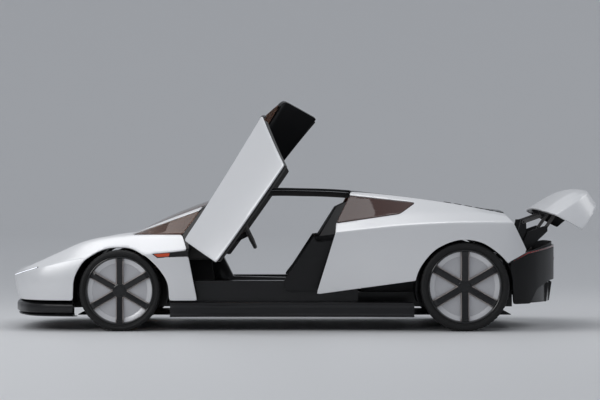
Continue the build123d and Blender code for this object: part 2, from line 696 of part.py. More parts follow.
def lid_bar(name, y_in, y_out, width):
    """Left bar between a body pivot, where it is bored, and its raised lid end."""
    bx, bz = body_pivot(name)
    px, pz = lid_point(*LID_PINS[name])
    n = math.hypot(px - bx, pz - bz)
    ux, uz = (px - bx) / n, (pz - bz) / n
    h = width / 2
    flat = [(bx - uz * h, bz + ux * h), (px - uz * h, pz + ux * h), (px + uz * h, pz - ux * h),
            (bx + uz * h, bz - ux * h)]
    bar = side_prism(flat, -y_out, -y_in)
    bar += rod((bx, -y_in, bz), (bx, -y_out, bz), h)
    bar += rod((px, -y_in, pz), (px, -y_out, pz), h)
    return bar - rod((bx, -y_in + 1, bz), (bx, -y_out - 1, bz), BORE_R)


def lid_arms():
    """Front bars, between the inner body plates and the lid's plates."""
    left = lid_bar("arm", 227, 239, 28)
    px, pz = lid_point(*LID_PINS["arm"])
    left += rod((px, -238, pz), (px, -256, pz), PIN_R)
    return [left, mirrored(left)]


def lid_links():
    """Rear bars beside the lid's plates, free there so that the linkage stays open."""
    left = lid_bar("link", 261, 273, 28)
    return [left, mirrored(left)]


def export(name, shape):
    """Write one node, moved into the row's frame."""
    if isinstance(shape, (list, tuple)):
        shape = together(shape)
    moved = Pos(ORIGIN_SHIFT, 0, 0) * shape
    if isinstance(moved, (list, ShapeList)):
        moved = together(moved)
    export_step(moved, f"parts/{name}.step")
    b = moved.bounding_box()
    print(f"{name:22s} {len(moved.solids())} {moved.volume / 1e6:9.3f} dm3 valid={moved.is_valid} "
          f"x {b.min.X:.0f} {b.max.X:.0f} y {b.min.Y:.0f} {b.max.Y:.0f} z {b.min.Z:.0f} {b.max.Z:.0f}")


OUTER = body_volume(0)
VOLUME = {k: body_volume(k) for k in (4, SKIN, 20, FRAME_SKIN, 40, DOOR_DEPTH)}


def main():
    """Build and export every node."""
    os.makedirs("parts", exist_ok=True)
    for make in (front_clamshell, windscreen, headlamps, marker_lamps, roof_frame,
                 front_quarter_glass, rear_quarters, rear_quarter_glass, rear_deck, splitter,
                 sills, rear_bumper, tail_light, undertray, chassis_tub, engine_block, exhaust,
                 seats, dashboard, steering_wheel, front_suspension, rear_suspension):
        export(make.__name__, make())
    export("front_liners", liner("front"))
    export("rear_liners", liner("rear"))
    left = knuckle()
    export("knuckle_left", left)
    export("knuckle_right", mirrored(left))
    for end in ("front", "rear"):
        for part in (tyre, rim, star):
            one = part(end)
            export(f"{part.__name__}_{end}_left", one)
            export(f"{part.__name__}_{end}_right", mirrored(one))
    front = caliper("front")
    export("caliper_front_left", front)
    export("caliper_front_right", mirrored(front))
    rear = caliper("rear")
    export("rear_calipers", [rear, mirrored(rear)])
    for part in (door_panel, door_frame, door_glass):
        one = door_turn(part())
        export(f"{part.__name__}_left", one)
        export(f"{part.__name__}_right", mirrored(one))
    export("tail_lid", tail_lid())
    export("lid_arms", lid_arms())
    export("lid_links", lid_links())


if __name__ == "__main__":
    main()
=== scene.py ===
"""Visual model of a low mid-engined supercar with raised doors and a raised tail lid.

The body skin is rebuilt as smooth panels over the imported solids: one surface is swept through
the car's stations, and each panel is the part of it inside its outlines, with hemmed edges.
Lengths are in metres, except in the body tables, which are in millimetres like the part's.
"""

import json
import logging
import math
from dataclasses import dataclass
from enum import Enum
from functools import reduce
from typing import Callable, Iterable, Iterator, Optional, Sequence

import bmesh
import bpy
import numpy as np
from mathutils import Matrix, Vector

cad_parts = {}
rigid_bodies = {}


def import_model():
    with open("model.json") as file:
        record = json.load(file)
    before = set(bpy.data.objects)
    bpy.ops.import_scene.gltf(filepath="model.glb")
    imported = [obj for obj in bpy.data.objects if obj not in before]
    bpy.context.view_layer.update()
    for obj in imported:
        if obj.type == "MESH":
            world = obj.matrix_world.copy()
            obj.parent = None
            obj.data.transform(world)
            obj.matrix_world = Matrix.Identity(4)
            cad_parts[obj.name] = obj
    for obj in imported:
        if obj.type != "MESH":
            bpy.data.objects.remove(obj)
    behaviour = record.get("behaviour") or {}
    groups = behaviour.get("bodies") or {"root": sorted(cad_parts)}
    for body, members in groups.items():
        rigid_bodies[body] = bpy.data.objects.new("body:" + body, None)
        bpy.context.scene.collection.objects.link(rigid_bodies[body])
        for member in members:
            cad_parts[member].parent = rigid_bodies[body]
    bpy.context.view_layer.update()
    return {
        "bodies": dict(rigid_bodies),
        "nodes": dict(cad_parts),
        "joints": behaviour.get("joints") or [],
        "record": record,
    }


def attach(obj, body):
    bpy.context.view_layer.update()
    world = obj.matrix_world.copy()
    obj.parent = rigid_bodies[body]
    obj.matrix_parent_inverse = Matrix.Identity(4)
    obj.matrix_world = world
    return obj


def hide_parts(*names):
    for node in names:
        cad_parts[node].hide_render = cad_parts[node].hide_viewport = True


log = logging.getLogger("supercar")
MM = 0.001
BEVEL_ANGLE = math.radians(32)  # edges sharper than this are bevelled
SHIFT = -51.5  # the body tables' X origin in the row's frame, mm
Point = Sequence[float]
Outline = Sequence[Point]
Tree = bpy.types.NodeTree
Field = Callable[[np.ndarray], np.ndarray]  # points in mm to distances in mm, positive inside
Socket = bpy.types.NodeSocket
Pieces = Iterator[bpy.types.Object]


# ---- finishes
class Effect(Enum):
    """Surface effects that a finish can carry."""

    PAINT = "fx_paint"
    WEAVE = "fx_weave"
    LEATHER = "fx_leather"
    CAST = "fx_cast"
    BRUSHED = "fx_brushed"
    RUBBER = "fx_rubber"


@dataclass(frozen=True)
class Finish:
    """One material: constants for the shader and the effect that varies it.

    Attributes:
        name: material name.
        slot: material slot of the record; not used.
        base: base colour, linear.
        shade: colour where the effect's mask is full.
        rough: lowest and highest roughness.
        effect: shared effect that gives the mask and the normal.
        metallic: metal share.
        coat: weight of the clear coat.
        coat_rough: roughness of the clear coat.
        transmission: share of light let through.
        ior: index of refraction.
        glow: strength of the light given off.
        sheen: weight of the fabric sheen.
        shine: specular level.
    """

    name: str
    slot: str
    base: tuple
    shade: tuple
    rough: tuple
    effect: Effect
    metallic: float = 0.0
    coat: float = 0.0
    coat_rough: float = 0.03
    transmission: float = 0.0
    ior: float = 1.5
    glow: float = 0.0
    sheen: float = 0.0
    shine: float = 0.5


WHITE = Finish("satin_white", "body_white", (0.78, 0.785, 0.795), (0.74, 0.745, 0.76),
               (0.29, 0.36), Effect.PAINT, metallic=0.3, coat=0.4, coat_rough=0.10)
BLACK = Finish("gloss_black", "body_black", (0.006, 0.006, 0.0065), (0.009, 0.009, 0.010),
               (0.16, 0.24), Effect.PAINT, coat=0.15, coat_rough=0.08, shine=0.2)
CARBON = Finish("satin_carbon", "carbon", (0.008, 0.008, 0.009), (0.018, 0.018, 0.019),
                (0.28, 0.42), Effect.WEAVE, coat=0.2, coat_rough=0.1, shine=0.25)
GLASS = Finish("bronze_glass", "tinted_glass", (0.34, 0.20, 0.145), (0.31, 0.18, 0.13),
               (0.02, 0.035), Effect.PAINT, transmission=0.86, ior=1.45)
DARK_GLASS = Finish("dark_bronze_glass", "tinted_glass", (0.085, 0.028, 0.018),
                    (0.07, 0.022, 0.014), (0.03, 0.05), Effect.PAINT, transmission=0.4, ior=1.45)
# white glow of the headlamp bars; it also paints the highlight along the nose crease
HIGHLIGHT_LAMP_WHITE = Finish("lamp_white_highlight", "lamp_black", (0.9, 0.93, 1.0), (0.8, 0.83, 0.9), (0.1, 0.2),
                    Effect.PAINT, glow=1.2)
LAMP_ORANGE = Finish("lamp_orange", "lamp_black", (0.55, 0.06, 0.01), (0.38, 0.035, 0.005),
                     (0.08, 0.16), Effect.RUBBER, coat=0.8, glow=0.12)
LAMP_RED = Finish("lamp_red", "lamp_red", (0.30, 0.006, 0.008), (0.2, 0.004, 0.005),
                  (0.08, 0.16), Effect.RUBBER, coat=0.8, glow=0.12)
TAIL = Finish("tail_black", "body_black", (0.006, 0.006, 0.0065), (0.010, 0.010, 0.011),
              (0.38, 0.5), Effect.CAST, shine=0.2)
STRIP = Finish("strip_black", "lamp_black", (0.008, 0.008, 0.009), (0.012, 0.012, 0.012),
               (0.1, 0.2), Effect.PAINT, coat=0.3, shine=0.3)
STAR = Finish("star_black", "wheel_black", (0.006, 0.006, 0.007), (0.009, 0.009, 0.010),
              (0.12, 0.18), Effect.PAINT, coat=0.45, coat_rough=0.05, shine=0.25)
DISC = Finish("satin_alloy", "alu", (0.56, 0.56, 0.575), (0.48, 0.48, 0.50), (0.3, 0.4),
              Effect.BRUSHED, metallic=0.45)
# lighter colour of the spoke chamfers: a painted highlight along the spokes' edges
EDGE = Finish("edge_highlight", "alu", (0.52, 0.47, 0.45), (0.44, 0.40, 0.38), (0.29, 0.36),
              Effect.BRUSHED, metallic=0.6)
# lighter copy of the plate's alloy on its sloped ring: a painted highlight
RING_HIGHLIGHT = Finish("ring_highlight", "alu", (0.72, 0.72, 0.735), (0.64, 0.64, 0.655), (0.29, 0.36),
              Effect.BRUSHED, metallic=0.35)
ALLOY = Finish("machined_alloy", "alu", (0.46, 0.46, 0.47), (0.36, 0.36, 0.37), (0.29, 0.42),
               Effect.BRUSHED, metallic=1.0)
TYRE = Finish("tyre_rubber", "tyre", (0.010, 0.010, 0.0105), (0.017, 0.0165, 0.016),
              (0.5, 0.7), Effect.RUBBER, shine=0.25)
COPPER = Finish("copper_caliper", "caliper", (0.55, 0.20, 0.075), (0.46, 0.16, 0.06),
                (0.29, 0.38), Effect.CAST, metallic=0.7, coat=0.4)
STEEL = Finish("dark_steel", "steel", (0.16, 0.155, 0.15), (0.10, 0.098, 0.095), (0.29, 0.42),
               Effect.BRUSHED, metallic=1.0)
TITAN = Finish("burnt_titanium", "steel", (0.35, 0.30, 0.27), (0.2, 0.18, 0.24), (0.29, 0.38),
               Effect.BRUSHED, metallic=1.0)
CASTING = Finish("cast_metal", "cast", (0.07, 0.07, 0.072), (0.045, 0.045, 0.047), (0.45, 0.7),
                 Effect.CAST, metallic=0.6)
LEATHER = Finish("black_leather", "trim", (0.022, 0.021, 0.020), (0.013, 0.012, 0.012),
                 (0.42, 0.6), Effect.LEATHER, sheen=0.12)
SUEDE = Finish("dark_suede", "trim", (0.028, 0.027, 0.027), (0.017, 0.016, 0.016), (0.8, 0.95),
               Effect.RUBBER, sheen=0.5)
PLASTIC = Finish("moulded_plastic", "plastic", (0.012, 0.012, 0.013), (0.008, 0.008, 0.009),
                 (0.5, 0.68), Effect.CAST, shine=0.25)


PATCH_SCALE, PATCH_DETAIL = 2.2, 4.0  # the large patches in which a colour changes
# scale and detail of the fine noise of each effect that has one
GRAIN = {Effect.PAINT: (420.0, 2.0), Effect.CAST: (700.0, 6.0), Effect.BRUSHED: (160.0, 3.0),
         Effect.RUBBER: (260.0, 8.0)}
# strength and height in m of each effect's bumps
BUMP = {Effect.PAINT: (0.012, 0.0004), Effect.WEAVE: (0.25, 0.0003),
        Effect.LEATHER: (0.35, 0.0005), Effect.CAST: (0.3, 0.0004),
        Effect.BRUSHED: (0.08, 0.0003), Effect.RUBBER: (0.2, 0.0005)}


class Materials:
    """Makes each finish's material once, over shared effect groups."""

    def __init__(self) -> None:
        """Starts with nothing made."""
        self.made: dict[str, bpy.types.Material] = {}
        self.groups: dict[Effect, Tree] = {}

    def group(self, effect: Effect) -> Tree:
        """Node group of an effect: inputs Patch Scale and Bump Strength, outputs Mask and Normal.

        Args:
            effect: which effect.

        Returns:
            The group, made on first use.
        """
        if effect in self.groups:
            return self.groups[effect]
        tree = bpy.data.node_groups.new(effect.value, "ShaderNodeTree")
        tree.interface.new_socket("Mask", in_out="OUTPUT", socket_type="NodeSocketFloat")
        tree.interface.new_socket("Normal", in_out="OUTPUT", socket_type="NodeSocketVector")
        for name in ("Patch Scale", "Bump Strength"):
            tree.interface.new_socket(name, in_out="INPUT", socket_type="NodeSocketFloat")
        given = tree.nodes.new("NodeGroupInput")
        out = tree.nodes.new("NodeGroupOutput")
        place = tree.nodes.new("ShaderNodeTexCoord").outputs["Object"]
        large = self._noise(tree, place, PATCH_SCALE, PATCH_DETAIL)
        tree.links.new(given.outputs["Patch Scale"], large.node.inputs["Scale"])
        if effect is Effect.WEAVE:
            mask = height = self._weave(tree, place)
        elif effect is Effect.LEATHER:
            cells = tree.nodes.new("ShaderNodeTexVoronoi")
            cells.feature = "DISTANCE_TO_EDGE"
            cells.inputs["Scale"].default_value = 520.0
            tree.links.new(place, cells.inputs["Vector"])
            height = self._range(tree, cells.outputs["Distance"], (0.0, 0.12), (0.0, 1.0))
            mask = self._mix(tree, large, height)
        else:
            if effect is Effect.BRUSHED:
                stretch = tree.nodes.new("ShaderNodeMapping")
                stretch.inputs["Scale"].default_value = (1.0, 12.0, 1.0)
                tree.links.new(place, stretch.inputs["Vector"])
                place = stretch.outputs["Vector"]
            height = self._noise(tree, place, *GRAIN[effect])
            mask = large if effect is Effect.PAINT else self._mix(tree, large, height)
        bump = tree.nodes.new("ShaderNodeBump")
        bump.inputs["Distance"].default_value = BUMP[effect][1]
        tree.links.new(given.outputs["Bump Strength"], bump.inputs["Strength"])
        tree.links.new(height, bump.inputs["Height"])
        tree.links.new(mask, out.inputs["Mask"])
        tree.links.new(bump.outputs["Normal"], out.inputs["Normal"])
        self.groups[effect] = tree
        return tree

    @staticmethod
    def _noise(tree: Tree, place: Socket, scale: float, detail: float) -> Socket:
        """Adds a noise texture.

        Args:
            tree: node tree.
            place: coordinates.
            scale: scale of the noise.
            detail: its detail.

        Returns:
            Its value.
        """
        node = tree.nodes.new("ShaderNodeTexNoise")
        node.inputs["Scale"].default_value = scale
        node.inputs["Detail"].default_value = detail
        tree.links.new(place, node.inputs["Vector"])
        return node.outputs["Fac"]

    @staticmethod
    def _range(tree: Tree, value: Socket, old: Point, new: Point) -> Socket:
        """Adds a map from one range onto another.

        Args:
            tree: node tree.
            value: what is mapped.
            old: its range.
            new: the range that it is brought to.

        Returns:
            The mapped value.
        """
        node = tree.nodes.new("ShaderNodeMapRange")
        for key, number in zip(("From Min", "From Max", "To Min", "To Max"), (*old, *new)):
            node.inputs[key].default_value = number
        tree.links.new(value, node.inputs["Value"])
        return node.outputs["Result"]

    @staticmethod
    def _mix(tree: Tree, a: Socket, b: Socket) -> Socket:
        """Adds the product of two values.

        Args:
            tree: node tree.
            a: first value.
            b: second value.

        Returns:
            The product.
        """
        node = tree.nodes.new("ShaderNodeMath")
        node.operation = "MULTIPLY"
        tree.links.new(a, node.inputs[0])
        tree.links.new(b, node.inputs[1])
        return node.outputs["Value"]

    def _weave(self, tree: Tree, place: Socket) -> Socket:
        """Adds a twill: two crossed bands of thread, each over and under.

        Args:
            tree: node tree.
            place: coordinates.

        Returns:
            The weave's height.
        """
        bands = []
        for direction in ("X", "Z"):
            node = tree.nodes.new("ShaderNodeTexWave")
            node.bands_direction = direction
            node.inputs["Scale"].default_value = 55.0
            node.inputs["Distortion"].default_value = 0.15
            tree.links.new(place, node.inputs["Vector"])
            bands.append(node.outputs["Fac"])
        return self._mix(tree, bands[0], bands[1])

    def get(self, finish: Finish) -> bpy.types.Material:
        """Material of a finish.

        Args:
            finish: the finish.

        Returns:
            The material, made on first use.
        """
        if finish.name in self.made:
            return self.made[finish.name]
        material = bpy.data.materials.new(finish.name)
        material.use_nodes = True
        tree = material.node_tree
        shader = tree.nodes["Principled BSDF"]
        effect = tree.nodes.new("ShaderNodeGroup")
        effect.node_tree = self.group(finish.effect)
        effect.inputs["Patch Scale"].default_value = PATCH_SCALE
        effect.inputs["Bump Strength"].default_value = BUMP[finish.effect][0]
        mix = tree.nodes.new("ShaderNodeMix")
        mix.data_type = "RGBA"
        mix.inputs["A"].default_value = (*finish.base, 1.0)
        mix.inputs["B"].default_value = (*finish.shade, 1.0)
        tree.links.new(effect.outputs["Mask"], mix.inputs["Factor"])
        tree.links.new(mix.outputs["Result"], shader.inputs["Base Color"])
        rough = self._range(tree, effect.outputs["Mask"], (0.2, 0.8), finish.rough)
        tree.links.new(rough, shader.inputs["Roughness"])
        tree.links.new(effect.outputs["Normal"], shader.inputs["Normal"])
        for socket, value in (("Metallic", finish.metallic), ("Coat Weight", finish.coat),
                              ("Coat Roughness", finish.coat_rough),
                              ("Transmission Weight", finish.transmission), ("IOR", finish.ior),
                              ("Sheen Weight", finish.sheen),
                              ("Specular IOR Level", finish.shine)):
            shader.inputs[socket].default_value = value
        if finish.glow:
            shader.inputs["Emission Color"].default_value = (*finish.base, 1.0)
            shader.inputs["Emission Strength"].default_value = finish.glow
        material.diffuse_color = (*finish.base, 1.0)
        self.made[finish.name] = material
        return material


MATERIALS = Materials()


# ---- mesh helpers
@dataclass
class Shape:
    """Vertices and faces under construction, in the row's frame.

    Attributes:
        points: vertices in metres.
        faces: tuples of vertex numbers.
        index: material number of each face, or nothing where all have the first.
    """

    points: np.ndarray
    faces: list
    index: Optional[list] = None

    def mirrored(self) -> "Shape":
        """The same shape on the car's other side."""
        flipped = self.points * np.array([1.0, -1.0, 1.0])
        return Shape(flipped, [tuple(reversed(f)) for f in self.faces], self.index)

    def turned(self, matrix: Matrix) -> "Shape":
        """The shape moved by a matrix."""
        m = np.array(matrix)
        return Shape(self.points @ m[:3, :3].T + m[:3, 3], self.faces, self.index)

    def paired(self) -> "Shape":
        """The shape with its mirror image."""
        return self.with_other(self.mirrored())

    def with_other(self, other: "Shape") -> "Shape":
        """Both shapes as one.

        Args:
            other: the shape to add.

        Returns:
            The whole, with this one's faces first.
        """
        n = len(self.points)
        faces = list(self.faces) + [tuple(i + n for i in f) for f in other.faces]
        index = None
        if self.index is not None or other.index is not None:
            index = (self.index or [0] * len(self.faces)) + (other.index or [0] * len(other.faces))
        return Shape(np.vstack([self.points, other.points]), faces, index)


def joined(shapes: Iterable[Shape]) -> Shape:
    """All shapes, at least one, as one."""
    return reduce(Shape.with_other, shapes)


@dataclass
class Piece:
    """A named piece of the scene and what it stands for.

    Attributes:
        name: object name.
        shape: its mesh.
        finishes: materials, in the order of the shape's face index.
        body: CAD body that it rides on.
        replaces: CAD nodes that it stands for.
        bevel: width of the bevel on its hard edges, or 0.
        levels: subdivision levels.
        smooth: angle below which edges are shaded smooth, degrees.
    """

    name: str
    shape: Shape
    finishes: Sequence[Finish]
    body: str = "body"
    replaces: Sequence[str] = ()
    bevel: float = 0.0
    levels: int = 0
    smooth: float = 38.0

    def make(self) -> bpy.types.Object:
        """Returns:
            The object.
        """
        mesh = bpy.data.meshes.new(self.name)
        mesh.from_pydata(self.shape.points.tolist(), [], self.shape.faces)
        if self.shape.index is not None:
            mesh.polygons.foreach_set("material_index", self.shape.index)
        mesh.validate()
        obj = bpy.data.objects.new(self.name, mesh)
        bpy.context.scene.collection.objects.link(obj)
        for finish in self.finishes:
            mesh.materials.append(MATERIALS.get(finish))
        if self.bevel:
            mod = obj.modifiers.new("bevel", "BEVEL")
            mod.width, mod.segments, mod.limit_method = self.bevel, 2, "ANGLE"
            mod.angle_limit = BEVEL_ANGLE
        if self.levels:
            obj.modifiers.new("subdivision", "SUBSURF").levels = self.levels
        apply_modifiers(obj)
        obj.data.shade_smooth()
        obj.data.set_sharp_from_angle(angle=math.radians(self.smooth))
        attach(obj, self.body)
        if self.replaces:
            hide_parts(*self.replaces)
        return obj


def apply_modifiers(obj: bpy.types.Object) -> None:
    """Bakes an object's modifiers into its mesh.

    Args:
        obj: the object.
    """
    if not obj.modifiers:
        return
    bpy.context.view_layer.update()
    graph = bpy.context.evaluated_depsgraph_get()
    mesh = bpy.data.meshes.new_from_object(obj.evaluated_get(graph))
    obj.modifiers.clear()
    obj.data = mesh


def turns(steps: int) -> np.ndarray:
    """Even angles round one turn."""
    return np.linspace(0, 2 * math.pi, steps, endpoint=False)


def lathe(profile: Outline, steps: int, closed: bool = True) -> Shape:
    """Revolves (axial, radius) points about the wheel axis; axial points outward, along -Y.

    Args:
        profile: axial and radial coordinates in mm.
        steps: segments round.
        closed: whether the profile is a loop.

    Returns:
        The ring, centred on the origin.
    """
    a = turns(steps)
    p = np.array(profile, float) * MM
    points = np.stack([np.outer(np.cos(a), p[:, 1]), np.tile(-p[:, 0], (steps, 1)),
                       np.outer(np.sin(a), p[:, 1])], axis=2).reshape(-1, 3)
    n, faces = len(p), []
    last = n if closed else n - 1
    for i in range(steps):
        j = (i + 1) % steps
        for k in range(last):
            m = (k + 1) % n
            faces.append((i * n + k, i * n + m, j * n + m, j * n + k))
    return Shape(points, faces)


def prism(outline: Outline, y0: float, y1: float) -> Shape:
    """Side outline drawn out across the car.

    Args:
        outline: its corners (x, z), mm.
        y0: one end, mm.
        y1: the other end, mm.

    Returns:
        The closed bar.
    """
    n = len(outline)
    points = np.array([(x, y, z) for y in (y0, y1) for x, z in outline], float)
    faces = [tuple(range(n)), tuple(range(2 * n - 1, n - 1, -1))]
    faces += [(i, i + n, (i + 1) % n + n, (i + 1) % n) for i in range(n)]
    return outward(Shape(points * MM, faces))


def outward(shape: Shape) -> Shape:
    """The shape with its faces turned outwards.

    Args:
        shape: the shape.

    Returns:
        The same shape with its faces wound anew.
    """
    bm = bmesh.new()
    verts = [bm.verts.new(p) for p in shape.points]
    for f in shape.faces:
        bm.faces.new([verts[i] for i in f])
    bmesh.ops.recalc_face_normals(bm, faces=bm.faces)
    bm.verts.index_update()
    faces = [tuple(v.index for v in f.verts) for f in bm.faces]
    bm.free()
    return Shape(shape.points, faces, shape.index)


def block(x0: float, x1: float, y0: float, y1: float, z0: float, z1: float) -> Shape:
    """Block between limits in mm, meant for a bevel."""
    return prism([(x0, z0), (x1, z0), (x1, z1), (x0, z1)], y0, y1)


def tube(path: Outline, radius: float, sides: int) -> Shape:
    """Round bar along points.

    Args:
        path: points, mm.
        radius: its radius, mm.
        sides: segments round.

    Returns:
        The closed bar.
    """
    p = np.array(path, float)
    d = np.gradient(p, axis=0)
    d /= np.linalg.norm(d, axis=1)[:, None]
    up = np.array([0.0, 0.0, 1.0]) if abs(d[0, 2]) < 0.9 else np.array([1.0, 0.0, 0.0])
    rings = []
    for q, t in zip(p, d):
        side = np.cross(t, up)
        side /= np.linalg.norm(side)
        top = np.cross(side, t)
        a = turns(sides)
        rings.append(q + radius * (np.outer(np.cos(a), side) + np.outer(np.sin(a), top)))
    return skin_rings(rings)


def skin_rings(rings: Sequence[np.ndarray], caps: bool = True, closed: bool = False) -> Shape:
    """Surface through rings of equal count.

    Args:
        rings: the rings, mm.
        caps: whether the first and last ring are closed.
        closed: whether the last ring meets the first.

    Returns:
        The surface.
    """
    n, m = len(rings[0]), len(rings)
    faces = []
    for i in range(m if closed else m - 1):
        j = (i + 1) % m
        for k in range(n):
            s = (k + 1) % n
            faces.append((i * n + k, i * n + s, j * n + s, j * n + k))
    if caps and not closed:
        faces += [tuple(range(n - 1, -1, -1)), tuple(range((m - 1) * n, m * n))]
    return outward(Shape(np.vstack(rings) * MM, faces))


def placed(shape: Shape, x: float = 0.0, y: float = 0.0, z: float = 0.0) -> Shape:
    """Moved by table coordinates in mm, into the row's frame."""
    return Shape(shape.points + np.array([(x + SHIFT) * MM, y * MM, z * MM]), shape.faces,
                 shape.index)


# ---- body surface
COLUMNS = ("x", "lo_y", "wide_y", "wide_z", "crease_y", "crease_z", "belt_y", "belt_z",
           "rail_y", "rail_z", "top_z")
STATIONS = [
    (-2385, 250, 270, 360, 262, 420, 240, 432, 160, 440, 444),
    (-2350, 480, 510, 360, 498, 430, 460, 452, 300, 464, 468),
    (-2300, 640, 672, 362, 655, 446, 610, 476, 400, 490, 495),
    (-2220, 778, 806, 366, 785, 470, 715, 512, 470, 520, 522),
    (-2120, 858, 880, 375, 858, 502, 752, 558, 505, 550, 553),
    (-1970, 915, 936, 400, 915, 542, 775, 628, 530, 598, 600),
    (-1736, 952, 974, 460, 957, 588, 790, 731, 560, 665, 668),
    (-1500, 962, 987, 500, 970, 608, 794, 773, 610, 730, 730),
    (-1394, 958, 985, 500, 970, 612, 796, 777, 660, 768, 765),
    (-1200, 938, 970, 485, 963, 620, 800, 777, 660, 848, 872),
    (-820, 903, 938, 455, 943, 655, 812, 783, 600, 988, 1032),
    (-400, 896, 931, 490, 940, 707, 828, 820, 515, 1108, 1143),
    (50, 898, 938, 510, 948, 763, 842, 856, 515, 1132, 1154),
    (500, 915, 960, 560, 972, 818, 856, 900, 575, 1120, 1128),
    (767, 938, 980, 600, 983, 846, 850, 935, 595, 1094, 1088),
    (1324, 968, 1003, 680, 990, 876, 826, 958, 618, 1014, 1008),
    (1560, 955, 988, 680, 966, 878, 806, 940, 636, 966, 978),
    (1700, 920, 950, 665, 918, 874, 780, 918, 640, 940, 964),
    (1800, 860, 888, 650, 856, 864, 740, 905, 612, 936, 960),
    (1900, 760, 788, 640, 760, 850, 680, 889, 545, 928, 955),
    (1990, 620, 648, 636, 630, 840, 575, 872, 440, 908, 932),
    (2060, 462, 486, 632, 474, 832, 432, 852, 320, 878, 894),
    (2105, 300, 318, 630, 310, 824, 282, 836, 205, 850, 856),
    (2130, 130, 140, 628, 136, 816, 124, 822, 90, 828, 830),
]
STEP = 15.0  # length of a surface cell along the car
ROWS = (4, 26, 9, 20, 34)  # cells up the foot, flank, shoulder, side glass and roof
TIP = 5.0  # length at the nose and the tail whose normals point straight out, mm
SNAP = 0.33  # share of a cell's side within which a point is moved onto a region's border
WELD = 0.05  # points nearer than this are one, mm
CREASE_ROW = 5.0  # distance of the rows beside the crease, mm
FOOT_IN, FOOT_Z, LOW_Z = 20.0, 46.0, 240.0  # foot: inset and height; lower body edge: height
NOSE_LEAN, NOSE_RUN = 46.0, 520.0  # how far the chin tucks under the nose tip, and over what length


def hermite(knots: np.ndarray, values: np.ndarray, at: np.ndarray) -> np.ndarray:
    """Smooth curve through values at uneven knots, one column at a time.

    Args:
        knots: where the values lie.
        values: rows of values.
        at: where the curve is read.

    Returns:
        A row of values for each place.
    """
    slope = np.gradient(values, knots, axis=0)
    i = np.clip(np.searchsorted(knots, at, side="right") - 1, 0, len(knots) - 2)
    h = (knots[i + 1] - knots[i])[:, None]
    t = ((at - knots[i]) / h[:, 0])[:, None]
    a, b, c, d = values[i], slope[i] * h, values[i + 1], slope[i + 1] * h
    return ((2 * t**3 - 3 * t**2 + 1) * a + (t**3 - 2 * t**2 + t) * b
            + (3 * t**2 - 2 * t**3) * c + (t**3 - t**2) * d)


def finer(grid: np.ndarray, times: int) -> np.ndarray:
    """The grid with more rows, by straight interpolation.

    Args:
        grid: rows of points.
        times: how many rows take the place of one.

    Returns:
        The finer grid.
    """
    at = np.linspace(0, len(grid) - 1, (len(grid) - 1) * times + 1)
    low = np.minimum(at.astype(int), len(grid) - 2)
    t = (at - low)[:, None, None]
    return grid[low] * (1 - t) + grid[low + 1] * t


def softened(values: np.ndarray, passes: int, weight: np.ndarray) -> np.ndarray:
    """Repeated averaging along the second axis; the ends stay.

    Args:
        values: rows of values, changed in place.
        passes: how often.
        weight: share of the average for each column.

    Returns:
        The values.
    """
    for _ in range(passes):
        mean = 0.5 * (values[:, :-2] + values[:, 2:])
        values[:, 1:-1] += weight[None, 1:-1, None] * (mean - values[:, 1:-1])
    return values


